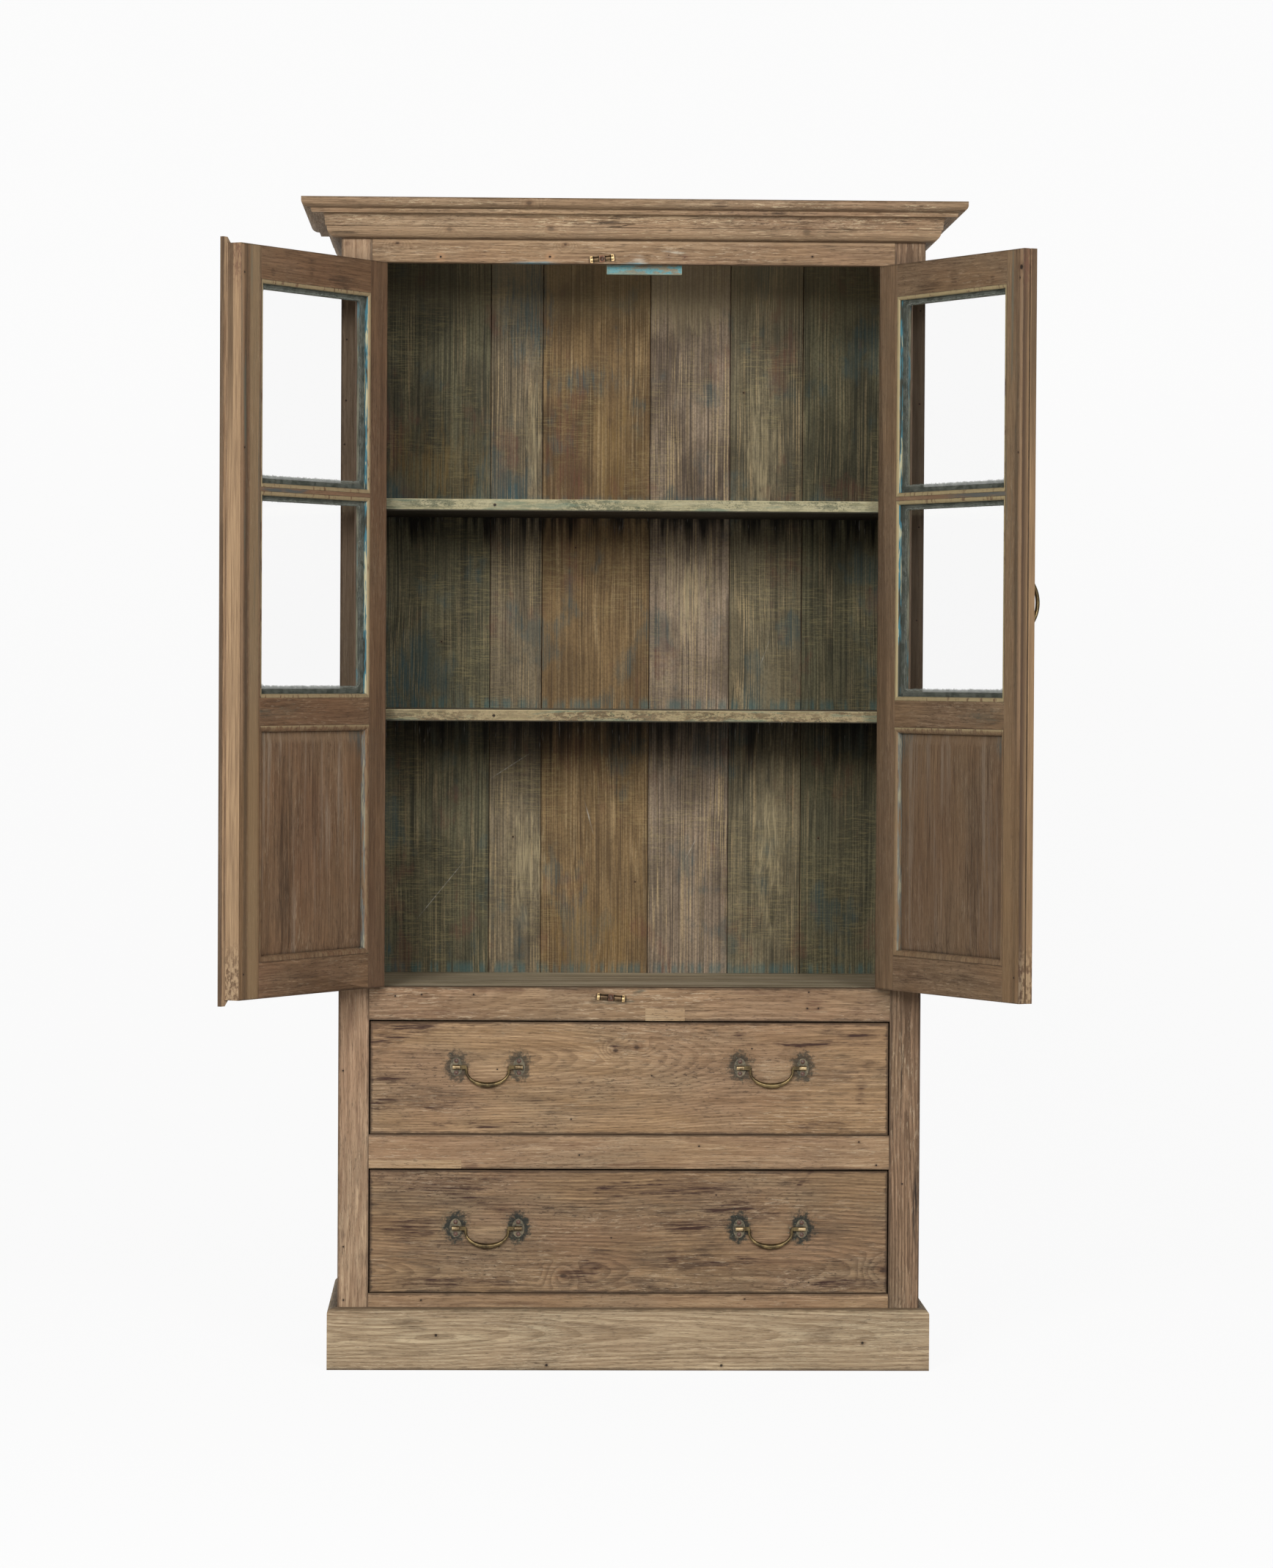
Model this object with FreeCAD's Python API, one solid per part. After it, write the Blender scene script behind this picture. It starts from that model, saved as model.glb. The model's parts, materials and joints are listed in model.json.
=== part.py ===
"""Glazed cupboard over two drawers, in reclaimed hardwood, doors standing open.

Millimetres. +Z is up and the front faces -Y. The origin lies on the floor, at the
middle of the width, in the plane of the face frame's front. Each group of solids is
written to parts/NODE.step.
"""
import FreeCAD, Part
import math
import os

V = FreeCAD.Vector
RIGHT_ANGLE = 90.0
FULL_TURN = 4 * RIGHT_ANGLE

# Carcase outline
body_width = 999.0
body_depth = 435.0
frame_thickness = 28.0
frame_stile_width = 52.7
side_thickness = 20.0
back_thickness = 14.0
top_board_thickness = 18.0
floor_thickness = 20.0
shelf_thickness = 20.0

# Heights of the front, from the floor upwards
bottom_rail_top = 130.2
lower_drawer_opening = 214.3
drawer_rail_height = 58.4
upper_drawer_opening = 196.5
middle_rail_height = 56.8
door_opening = 1238.7
top_rail_height = 39.3
cornice_height = 65.8

# Cornice and plinth
cornice_projection = 67.0
plinth_projection = 17.3
plinth_height = 96.6
plinth_bevel_height = 9.6

# Mortise and tenon joints
frame_tenon_length = 34.0
frame_tenon_thickness = 9.0
tenon_shoulder = 8.0

# Inside the cupboard
upper_shelf_level = 836.8
lower_shelf_level = 475.2
shelf_setback = 34.0
cleat_width = 18.0
cleat_height = 26.0
back_board_gap = 1.0
back_lap = 7.0
back_lap_play = 0.4
back_foot = 22.0
back_board_edge_shares = (0.0, 0.246, 0.343, 0.544, 0.694, 0.830, 1.0)

# Block that stops the doors, fixed behind the top rail
stop_left = -46.0
stop_length = 129.0
stop_drop = 15.4
stop_rise = 20.0
stop_thickness = 17.0

# Pieces let into the rails as repairs
patch_left = 26.3
patch_length = 68.0
patch_height = 22.0
patch_depth = 7.0
strip_length = 159.0
strip_height = 15.0
strip_depth = 9.0

# Doors
door_thickness = 26.0
door_setback = 1.0
hinge_gap = 2.0
meeting_gap = 2.0
door_top_gap = 2.4
door_bottom_gap = 1.4
left_open_angle = 121.3
right_open_angle = 117.5
left_hinge_stile_width = 52.0
left_meeting_stile_width = 60.0
right_hinge_stile_width = 57.0
right_meeting_stile_width = 50.0
door_top_rail_height = 55.0
door_lock_rail_height = 46.0
door_bottom_rail_height = 60.0
door_panel_height = 388.0
upper_pane_height = 340.0
glazing_bar_width = 7.0
door_tenon_length = 32.0
door_tenon_thickness = 8.0
bar_tenon_length = 12.0

# Glazing
bead_width = 7.0
bead_depth = 8.0
glass_thickness = 3.0
glass_play = 1.0
lip_beyond_bead = 8.0
lip_chamfer = 6.0
bead_round_share = 0.55

# Raised panel and the mouldings round it
panel_thickness = 12.0
panel_tongue_thickness = 6.0
panel_tongue_length = 9.0
panel_play = 1.0
panel_bevel_width = 20.0
panel_moulding_width = 10.0
panel_inner_recess = 8.0

# Cover strip on the left door's meeting edge
astragal_width = 21.5
astragal_overlap = 10.0
astragal_thickness = 8.0
astragal_overrun = 10.0
astragal_reed_depth = 1.2
astragal_clearance = 0.5

# Groove down the right door's meeting edge
edge_groove_depth = 2.5
edge_groove_width = 2.5

# Butt hinges
hinge_height = 76.0
hinge_leaf_width = 21.0
hinge_leaf_thickness = 1.5
hinge_leaf_play = 0.4
knuckle_radius = 3.2
knuckle_play = 0.3
hinge_pin_radius = 1.8
hinge_pin_play = 0.05
hinge_end_distance = 118.0

# Turn buttons on the rails
upper_button_length = 44.0
lower_button_length = 51.0
button_width = 11.0
button_thickness = 3.2
button_rib_height = 6.6
button_rib_width = 2.4
button_boss_radius = 4.8
button_hub_length = 11.0
button_play = 0.3
button_bore_play = 0.05
upper_button_place = -55.0
lower_button_place = -33.0
upper_button_offset = 8.3
lower_button_offset = 17.0
upper_button_tilt = 6.0
lower_button_tilt = -4.7
button_screw_radius = 2.2
button_screw_depth = 18.0
button_screw_head_radius = 3.9
button_screw_head_height = 1.9

# Bow handle of the right door
handle_edge_distance = 32.0
handle_level = 657.0
handle_length = 100.0
handle_projection = 27.0
handle_end_radius = 2.2
handle_middle_radius = 3.6
handle_foot_radius = 7.0
handle_foot_thickness = 3.0

# Drawers
drawer_front_thickness = 22.0
drawer_side_gap = 2.0
drawer_top_gap = 2.6
drawer_bottom_gap = 0.6
drawer_rear_gap = 26.0
drawer_side_thickness = 14.0
drawer_side_drop = 12.0
drawer_back_thickness = 14.0
drawer_bottom_thickness = 8.0
drawer_bottom_rise = 9.0
drawer_groove_depth = 6.0
drawer_edge_round = 2.5
runner_height = 20.0
runner_width = 30.0
guide_height = 34.0
guide_play = 0.8

# Bail pulls
pull_centre_distance = 243.5
upper_pull_height_share = 0.60
lower_pull_height_share = 0.53
pull_plate_spacing = 107.5
pull_plate_width = 21.0
pull_plate_height = 32.0
pull_plate_thickness = 1.6
pull_knuckle_radius = 3.9
pull_knuckle_length = 12.5
pull_knuckle_standoff = 6.4
pull_pin_radius = 2.3
pull_pin_play = 0.05
pull_side_play = 0.6
pull_screw_offset = 10.2
pull_screw_radius = 3.7
pull_screw_height = 1.2
elbow_length = 10.8
elbow_height = 6.2
bail_post_inset = 10.4
bail_straight_drop = 6.0
bail_round_drop = 24.7
bail_end_radius = 2.2
bail_middle_radius = 4.7
bail_sections = 12

# Overrun of every cutting shape past the face that it leaves
overrun = 5.0

# Levels worked out from the heights above
lower_opening_top = bottom_rail_top + lower_drawer_opening
upper_opening_bottom = lower_opening_top + drawer_rail_height
upper_opening_top = upper_opening_bottom + upper_drawer_opening
door_opening_bottom = upper_opening_top + middle_rail_height
door_opening_top = door_opening_bottom + door_opening
cornice_bottom = door_opening_top + top_rail_height
height = cornice_bottom + cornice_height
frame_top = height - top_board_thickness

# Planes worked out from the outline
front = 0.0
back = front + body_depth
frame_rear = front + frame_thickness
board_face = back - back_thickness
half_body = body_width / 2
half_opening = half_body - frame_stile_width
half_inside = half_body - side_thickness
opening = (-half_opening, half_opening)
inside = (-half_inside, half_inside)

# Doors, worked out from the opening
door_width = half_opening - hinge_gap - meeting_gap / 2
door_height = door_opening - door_top_gap - door_bottom_gap
door_bottom = door_opening_bottom + door_bottom_gap
door_face = front + door_setback
pivot_x = half_opening - hinge_gap / 2
pivot_y = front - knuckle_radius - knuckle_play
panel_bottom = door_bottom_rail_height
panel_top = panel_bottom + door_panel_height
panes_bottom = panel_top + door_lock_rail_height
panes_top = door_height - door_top_rail_height
bar_top = panes_top - upper_pane_height
bar_bottom = bar_top - glazing_bar_width
rebate_width = bead_width + lip_beyond_bead
lip_thickness = door_thickness - bead_depth - glass_thickness

# Bails, worked out from their plates
elbow_reach = pull_plate_spacing / 2 - pull_knuckle_length / 2 - pull_side_play
bail_half_width = elbow_reach - bail_post_inset

nodes = {}


def add(name, *solids):
    """Keep solids as one node; several solids stay separate in it."""
    kept = []
    for solid in solids:
        kept.extend(solid.Solids)
    nodes[name] = kept[0] if len(kept) == 1 else Part.makeCompound(kept)


def slab(x, y, z):
    """Board between pairs of coordinates."""
    return Part.makeBox(x[1] - x[0], y[1] - y[0], z[1] - z[0], V(x[0], y[0], z[0]))


def rod(start, end, radius):
    """Round bar from one point to another."""
    along = end - start
    return Part.makeCylinder(radius, along.Length, start, along)


def mirrored(solid):
    """The same piece on the other side of the cabinet."""
    return solid.mirror(V(0, 0, 0), V(1, 0, 0))


def closed_wire(points):
    """Polygon through points, where a list of points inside is one smooth stretch."""
    edges = []
    last = None
    for item in points + [points[0]]:
        if isinstance(item, list):
            curve = Part.BSplineCurve()
            curve.interpolate([last] + item)
            edges.append(curve.toShape())
            last = item[-1]
        else:
            if last is not None:
                edges.append(Part.LineSegment(last, item).toShape())
            last = item
    return Part.Wire(edges)


def mapped(profile, place):
    """Profile of pairs, or lists of pairs for smooth stretches, placed in space."""
    points = []
    for item in profile:
        if isinstance(item, list):
            points.append([place(*pair) for pair in item])
        else:
            points.append(place(*item))
    return points


def between(profile, place_start, place_end):
    """Straight moulding of one profile, cut at each end by the plane it is placed in."""
    ends = [closed_wire(mapped(profile, place)) for place in (place_start, place_end)]
    return Part.makeLoft(ends, True, True)


def quarter(start, end, outward, steps=6):
    """Quarter ellipse between two corners; outward bulges towards (end, start)."""
    points = []
    for step in range(1, steps + 1):
        angle = math.radians(RIGHT_ANGLE) * step / steps
        if outward:
            u = start[0] + (end[0] - start[0]) * math.sin(angle)
            v = end[1] + (start[1] - end[1]) * math.cos(angle)
        else:
            u = end[0] + (start[0] - end[0]) * math.cos(angle)
            v = start[1] + (end[1] - start[1]) * math.sin(angle)
        points.append((u, v))
    return points


def three_sided(profile, name, keep_front=True):
    """Moulding of (outward, height) pairs along the front and both sides, mitred."""
    def corner(side):
        return lambda out, z: V(side * (half_body + out), front - out, z)

    def rear(side):
        return lambda out, z: V(side * (half_body + out), back, z)

    add(name + "_front", between(profile, corner(-1), corner(1)))
    add(name + "_left", between(profile, rear(-1), corner(-1)))
    add(name + "_right", between(profile, corner(1), rear(1)))


def cornice_profile():
    """Crown: rounded fascia, fillet, flat frieze and a lower quarter round."""
    def at(out_share, rise_share):
        return (out_share * cornice_projection, cornice_bottom + rise_share * cornice_height)

    foot_share, round_share, round_top_share = 0.08, 0.37, 0.28
    frieze_share, frieze_foot_share, frieze_top_share, soffit_share = 0.41, 0.31, 0.47, 0.62
    fillet_share, fillet_top_share, quirk_share = 0.74, 0.77, 0.72
    nose_share, nose_rise_share, fascia_rise_share = 0.79, 0.73, 0.90
    return [
        at(0, 0),
        at(foot_share, 0),
        quarter(at(foot_share, 0), at(round_share, round_top_share), True),
        at(round_share, frieze_foot_share),
        at(frieze_share, frieze_foot_share),
        quarter(at(frieze_share, frieze_foot_share), at(frieze_top_share, soffit_share), False),
        at(fillet_share, soffit_share),
        at(fillet_top_share, quirk_share),
        at(nose_share, nose_rise_share),
        quarter(at(nose_share, nose_rise_share), at(1, fascia_rise_share), True),
        at(1, 1),
        at(0, 1),
    ]


def plinth_profile():
    """Flat board with a rounded bevel that runs up to the body."""
    shoulder = (plinth_projection, plinth_height)
    crest = (0, plinth_height + plinth_bevel_height)
    return [(0, 0), (plinth_projection, 0), shoulder, quarter(shoulder, crest, False)]


def tenon_box(x, rail_z, y_mid, thickness, length, side, shoulder):
    """Tenon that leaves a rail's end towards side."""
    end = (x, x + length) if side > 0 else (x - length, x)
    y = (y_mid - thickness / 2, y_mid + thickness / 2)
    return slab(end, y, (rail_z[0] + shoulder, rail_z[1] - shoulder))


def screw(seat, head_radius, head_height, shank_radius, shank_length):
    """Domed screw turned about its axis, its seat under the head, the head to the front."""
    dome_radius = (head_radius ** 2 + head_height ** 2) / (2 * head_height)
    half_angle = math.asin(head_radius / dome_radius) / 2
    rim = V(head_radius, 0, 0)
    crown = V(0, 0, head_height)
    flank = V(dome_radius * math.sin(half_angle), 0,
              head_height - dome_radius * (1 - math.cos(half_angle)))
    corners = [crown, V(0, 0, -shank_length), V(shank_radius, 0, -shank_length),
               V(shank_radius, 0, 0), rim]
    edges = [Part.LineSegment(a, b).toShape() for a, b in zip(corners, corners[1:])]
    edges.append(Part.Arc(rim, flank, crown).toShape())
    solid = Part.Face(Part.Wire(edges)).revolve(V(0, 0, 0), V(0, 0, 1), FULL_TURN)
    solid.rotate(V(0, 0, 0), V(1, 0, 0), RIGHT_ANGLE)
    solid.translate(seat)
    return solid


def lofted_wire(centres, tilts, radii, spin):
    """Round wire of changing thickness through centres, each section tilted about spin."""
    rings = []
    for centre, tilt, radius in zip(centres, tilts, radii):
        ring = Part.Circle(V(0, 0, 0), V(0, 0, 1), radius).toShape()
        ring.rotate(V(0, 0, 0), spin, tilt)
        ring.translate(centre)
        rings.append(Part.Wire([ring]))
    return Part.makeLoft(rings, True, False)


def button_centre(upper):
    """Pivot of a turn button on the face of its rail."""
    if upper:
        return V(upper_button_place, front, door_opening_top + upper_button_offset)
    return V(lower_button_place, front, door_opening_bottom - lower_button_offset)


def build_face_frame():
    """Stiles with rails tenoned between them, and the pieces let in as repairs."""
    y = (front, frame_rear)
    y_mid = (front + frame_rear) / 2
    rails = {
        "frame_top_rail": (door_opening_top, frame_top),
        "frame_middle_rail": (upper_opening_top, door_opening_bottom),
        "frame_drawer_rail": (lower_opening_top, upper_opening_bottom),
        "frame_bottom_rail": (0, bottom_rail_top),
    }
    left = slab((-half_body, -half_opening), y, (0, frame_top))
    right = slab((half_opening, half_body), y, (0, frame_top))
    solids = {}
    for name, z in rails.items():
        rail = slab(opening, y, z)
        ends = []
        for side in (-1, 1):
            tenon = tenon_box(side * half_opening, z, y_mid, frame_tenon_thickness,
                              frame_tenon_length, side, tenon_shoulder)
            ends.append(tenon)
        left = left.cut(ends[0])
        right = right.cut(ends[1])
        solids[name] = rail.fuse(ends).removeSplitter()

    patch = slab((patch_left, patch_left + patch_length), (front, front + patch_depth),
                 (upper_opening_top, upper_opening_top + patch_height))
    strip = slab((-half_opening, -half_opening + strip_length), (front, front + strip_depth),
                 (lower_opening_top, lower_opening_top + strip_height))
    solids["frame_middle_rail"] = solids["frame_middle_rail"].cut(patch)
    solids["frame_drawer_rail"] = solids["frame_drawer_rail"].cut(strip)

    for name, upper in (("frame_top_rail", True), ("frame_middle_rail", False)):
        place = button_centre(upper)
        hole = rod(place - V(0, overrun, 0), place + V(0, button_screw_depth, 0),
                   button_screw_radius)
        solids[name] = solids[name].cut(hole)

    for side, stile, name in ((-1, left, "frame_left_stile"), (1, right, "frame_right_stile")):
        for level in hinge_levels():
            stile = stile.cut(leaf_plate(side, 1, level))
        add(name, stile)
    for name, solid in solids.items():
        add(name, solid)
    add("rail_repairs", patch, strip)


def back_boards():
    """Six boards, each lapping over the next along a rebate of half the thickness."""
    z = (back_foot, frame_top)
    width = inside[1] - inside[0]
    seam = (board_face + back) / 2
    edges = [inside[0] + share * width for share in back_board_edge_shares]
    boards = []
    for low, high in zip(edges, edges[1:]):
        first = low == edges[0]
        last = high == edges[-1]
        x = (low + (0 if first else back_board_gap), high)
        board = slab(x, (board_face, back), z)
        if not first:
            rebate = slab((x[0], low + back_lap + back_board_gap), (seam, back), z)
            board = board.cut(rebate)
        if not last:
            tongue = slab((high, high + back_lap), (seam + back_lap_play, back), z)
            board = board.fuse(tongue).removeSplitter()
        boards.append(board)
    return boards


def build_carcase():
    """Sides, top, floor, shelves, back boards, cornice and plinth."""
    side = slab((-half_body, -half_inside), (frame_rear, back), (0, frame_top))
    add("left_side", side)
    add("right_side", mirrored(side))
    add("top_board", slab((-half_body, half_body), (front, back), (frame_top, height)))
    three_sided(cornice_profile(), "cornice")
    three_sided(plinth_profile(), "plinth")

    add("cupboard_floor", slab(inside, (frame_rear, board_face),
                               (door_opening_bottom - floor_thickness, door_opening_bottom)))
    bearers = []
    for name, level in (("upper_shelf", upper_shelf_level), ("lower_shelf", lower_shelf_level)):
        top = door_opening_bottom + level
        bottom = top - shelf_thickness
        add(name, slab(inside, (front + shelf_setback, board_face), (bottom, top)))
        cleat = slab((-half_inside, -half_inside + cleat_width),
                     (front + shelf_setback, board_face), (bottom - cleat_height, bottom))
        bearers += [cleat, mirrored(cleat)]

    for level in (bottom_rail_top, upper_opening_bottom):
        runner = slab((-half_inside, -half_opening + runner_width), (frame_rear, board_face),
                      (level - runner_height, level))
        guide = slab((-half_inside, -half_opening + drawer_side_gap - guide_play),
                     (frame_rear, board_face), (level, level + guide_height))
        bearers += [runner, mirrored(runner), guide, mirrored(guide)]
    add("bearers", *bearers)

    add("back_boards", *back_boards())

    add("door_stop", slab((stop_left, stop_left + stop_length),
                          (frame_rear, frame_rear + stop_thickness),
                          (door_opening_top - stop_drop, door_opening_top + stop_rise)))


def leaf_x(side, s):
    """Distance across the leaf from its hinge edge, as a place in the closed cabinet."""
    return side * (half_opening - hinge_gap - s)


def leaf_slab(side, s, d, z):
    """Board of a closed leaf: s from the hinge edge, d from the outer face, z up."""
    x = sorted((leaf_x(side, s[0]), leaf_x(side, s[1])))
    return slab(x, (door_face + d[0], door_face + d[1]), (door_bottom + z[0], door_bottom + z[1]))


def leaf_point(side, s, d, z):
    """Point of a closed leaf."""
    return V(leaf_x(side, s), door_face + d, door_bottom + z)


def mitred_frame(side, s, z, profile):
    """Four mitred lengths inside the opening s by z, of (inward, depth) pairs."""
    def corner(s_edge, s_way, z_edge, z_way):
        return lambda w, d: leaf_point(side, s_edge + s_way * w, d, z_edge + z_way * w)

    low_hinge = corner(s[0], 1, z[0], 1)
    high_hinge = corner(s[0], 1, z[1], -1)
    low_free = corner(s[1], -1, z[0], 1)
    high_free = corner(s[1], -1, z[1], -1)
    return {
        "hinge": between(profile, low_hinge, high_hinge),
        "free": between(profile, low_free, high_free),
        "low": between(profile, low_hinge, low_free),
        "high": between(profile, high_hinge, high_free),
    }


def hinge_levels():
    """Bottom of each hinge, up from the floor of the room."""
    low = door_bottom + hinge_end_distance
    high = door_bottom + door_height - hinge_end_distance - hinge_height
    return (low, (low + high) / 2, high)


def knuckle_spans(level):
    """Three knuckles of a hinge: the outer two on the frame, the middle on the door."""
    third = hinge_height / 3
    play = knuckle_play / 2
    return [(level + third * count + play, level + third * (count + 1) - play)
            for count in range(3)]


def pivot(side, z):
    """Point on a door's hinge line."""
    return V(side * pivot_x, pivot_y, z)


def leaf_plate(side, way, level):
    """Flat of a hinge leaf, let into the stile (way 1) or into the door's edge (way -1)."""
    near = pivot_x + way * hinge_leaf_play / 2
    x = sorted((side * near, side * (near + way * hinge_leaf_thickness)))
    return slab(x, (pivot_y, front + hinge_leaf_width), (level, level + hinge_height))


def hinge_leaf(side, plate, spans, others, bore):
    """Leaf with its own knuckles, cut away round the other leaf's knuckles."""
    leaf = plate
    for span in spans:
        leaf = leaf.fuse(rod(pivot(side, span[0]), pivot(side, span[1]), knuckle_radius))
    low = min(span[0] for span in spans + others)
    high = max(span[1] for span in spans + others)
    for span in others:
        low_cut = pivot(side, span[0] - knuckle_play)
        high_cut = pivot(side, span[1] + knuckle_play)
        leaf = leaf.cut(rod(low_cut, high_cut, knuckle_radius + knuckle_play))
    return leaf.cut(rod(pivot(side, low - overrun), pivot(side, high + overrun), bore))


def build_hinges(doors):
    """Frame leaves and pins; the door leaves join their doors."""
    frame_leaves = []
    pins = []
    for side, door in doors:
        door_leaves = []
        for level in hinge_levels():
            low, middle, high = knuckle_spans(level)
            frame_leaves.append(hinge_leaf(side, leaf_plate(side, 1, level), [low, high],
                                           [middle], hinge_pin_radius))
            door_leaves.append(hinge_leaf(side, leaf_plate(side, -1, level), [middle],
                                          [low, high], hinge_pin_radius + hinge_pin_play))
            pins.append(rod(pivot(side, level), pivot(side, level + hinge_height),
                            hinge_pin_radius))
        door["hinge_leaves"] = door_leaves
    add("hinge_frame_leaves", *frame_leaves)
    return pins


def glazing_bead_profile():
    """Bead over the glass, flat on the door's inner face and rounded to the glass."""
    face = door_thickness
    glass_face = door_thickness - bead_depth
    round_width = bead_width * (1 - bead_round_share)
    return [(0, glass_face), (bead_width, glass_face),
            (bead_width, face - bead_depth * bead_round_share),
            quarter((bead_width, face - bead_depth * bead_round_share), (round_width, face), False),
            (0, face)]


def lip_profile():
    """Lip of the frame in front of the glass, chamfered on the outer face."""
    return [(0, 0), (rebate_width - lip_chamfer, 0), (rebate_width, lip_chamfer),
            (rebate_width, lip_thickness), (0, lip_thickness)]


def panel_moulding_profile(panel_face, leaf_face):
    """Quarter hollow from the leaf's face down to the panel."""
    w = panel_moulding_width
    depth = leaf_face - panel_face
    flat_share = 0.35
    shoulder = (w * flat_share, leaf_face)
    foot = (w, panel_face + depth * flat_share)
    return [(0, panel_face), (w, panel_face), foot, quarter(foot, shoulder, False), (0, leaf_face)]


def raised_panel(side, s, z):
    """Panel with a raised field on both faces and a tongue all round."""
    inner_face = door_thickness - panel_inner_recess
    outer_face = inner_face - panel_thickness
    middle = (inner_face + outer_face) / 2
    tongue = (middle - panel_tongue_thickness / 2, middle + panel_tongue_thickness / 2)
    reach = panel_tongue_length - panel_play
    body = leaf_slab(side, (s[0] - reach, s[1] + reach), tongue, (z[0] - reach, z[1] + reach))
    bevel = panel_moulding_width + panel_bevel_width
    for face, level in ((tongue[1], inner_face), (tongue[0], outer_face)):
        low = closed_wire([leaf_point(side, a, face, b) for a, b in (
            (s[0], z[0]), (s[1], z[0]), (s[1], z[1]), (s[0], z[1]))])
        high = closed_wire([leaf_point(side, a, level, b) for a, b in (
            (s[0] + bevel, z[0] + bevel), (s[1] - bevel, z[0] + bevel),
            (s[1] - bevel, z[1] - bevel), (s[0] + bevel, z[1] - bevel))])
        body = body.fuse(Part.makeLoft([low, high], True, True))
    groove = leaf_slab(side, (s[0] - panel_tongue_length, s[1] + panel_tongue_length), tongue,
                       (z[0] - panel_tongue_length, z[1] + panel_tongue_length))
    return body.removeSplitter(), groove, tongue


def build_leaf(side, hinge_stile, meeting_stile):
    """One closed door: frame, panel, mouldings, beads and panes."""
    full = (0, door_thickness)
    middle = door_thickness / 2
    inner = (hinge_stile, door_width - meeting_stile)
    stiles = {
        "hinge_stile": leaf_slab(side, (0, inner[0]), full, (0, door_height)),
        "meeting_stile": leaf_slab(side, (inner[1], door_width), full, (0, door_height)),
    }
    rail_spans = {
        "bottom_rail": (0, panel_bottom),
        "lock_rail": (panel_top, panes_bottom),
        "glazing_bar": (bar_bottom, bar_top),
        "top_rail": (panes_top, door_height),
    }
    rails = {}
    for name, z in rail_spans.items():
        bar = name == "glazing_bar"
        length = bar_tenon_length if bar else door_tenon_length
        shoulder = 0 if bar else tenon_shoulder
        d = (middle - door_tenon_thickness / 2, middle + door_tenon_thickness / 2)
        tenon_z = (z[0] + shoulder, z[1] - shoulder)
        near = leaf_slab(side, (inner[0] - length, inner[0]), d, tenon_z)
        far = leaf_slab(side, (inner[1], inner[1] + length), d, tenon_z)
        rails[name] = leaf_slab(side, inner, full, z).fuse([near, far])
        stiles["hinge_stile"] = stiles["hinge_stile"].cut(near)
        stiles["meeting_stile"] = stiles["meeting_stile"].cut(far)

    panes = []
    beads = []
    for z, low, high in (((panes_bottom, bar_bottom), "lock_rail", "glazing_bar"),
                         ((bar_top, panes_top), "glazing_bar", "top_rail")):
        lip = mitred_frame(side, inner, z, lip_profile())
        stiles["hinge_stile"] = stiles["hinge_stile"].fuse(lip["hinge"])
        stiles["meeting_stile"] = stiles["meeting_stile"].fuse(lip["free"])
        rails[low] = rails[low].fuse(lip["low"])
        rails[high] = rails[high].fuse(lip["high"])
        panes.append(leaf_slab(side, (inner[0] + glass_play, inner[1] - glass_play),
                               (lip_thickness, lip_thickness + glass_thickness),
                               (z[0] + glass_play, z[1] - glass_play)))
        beads += mitred_frame(side, inner, z, glazing_bead_profile()).values()

    opening_z = (panel_bottom, panel_top)
    panel, groove, tongue = raised_panel(side, inner, opening_z)
    for piece in ("hinge_stile", "meeting_stile"):
        stiles[piece] = stiles[piece].cut(groove)
    for piece in ("bottom_rail", "lock_rail"):
        rails[piece] = rails[piece].cut(groove)
    for profile in (panel_moulding_profile(tongue[1], door_thickness),
                    panel_moulding_profile(tongue[0], 0)):
        lengths = mitred_frame(side, inner, opening_z, profile)
        beads += [length.cut(panel) for length in lengths.values()]

    for level in hinge_levels():
        stiles["hinge_stile"] = stiles["hinge_stile"].cut(leaf_plate(side, -1, level))
    leaf = {name: [solid.removeSplitter()] for name, solid in {**stiles, **rails}.items()}
    leaf["panel"] = [panel]
    leaf["panes"] = panes
    leaf["beads"] = beads
    return leaf


def astragal():
    """Reeded strip over the left door's meeting edge, its ends chamfered clear of the frame."""
    s = (door_width + astragal_overlap - astragal_width, door_width + astragal_overlap)
    z = (-astragal_overrun, door_height + astragal_overrun)
    cut = astragal_overrun
    outline = [(s[1], z[0]), (s[1], z[1]), (s[0] + cut, z[1]), (s[0], z[1] - cut),
               (s[0], z[0] + cut), (s[0] + cut, z[0])]
    relief = door_setback + astragal_clearance
    wire = closed_wire([leaf_point(-1, a, -astragal_thickness, b) for a, b in outline])
    strip = Part.Face(wire).extrude(V(0, astragal_thickness - relief, 0))
    seat = leaf_slab(-1, (s[0], door_width), (-relief, 0), (0, door_height))
    strip = strip.fuse(seat).removeSplitter()
    reed_places_shares = (0.3, 0.7)
    for share in reed_places_shares:
        line = s[0] + astragal_width * share
        start = leaf_point(-1, line, -astragal_thickness, z[0] - overrun)
        end = leaf_point(-1, line, -astragal_thickness, z[1] + overrun)
        strip = strip.cut(rod(start, end, astragal_reed_depth))
    return strip


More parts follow.
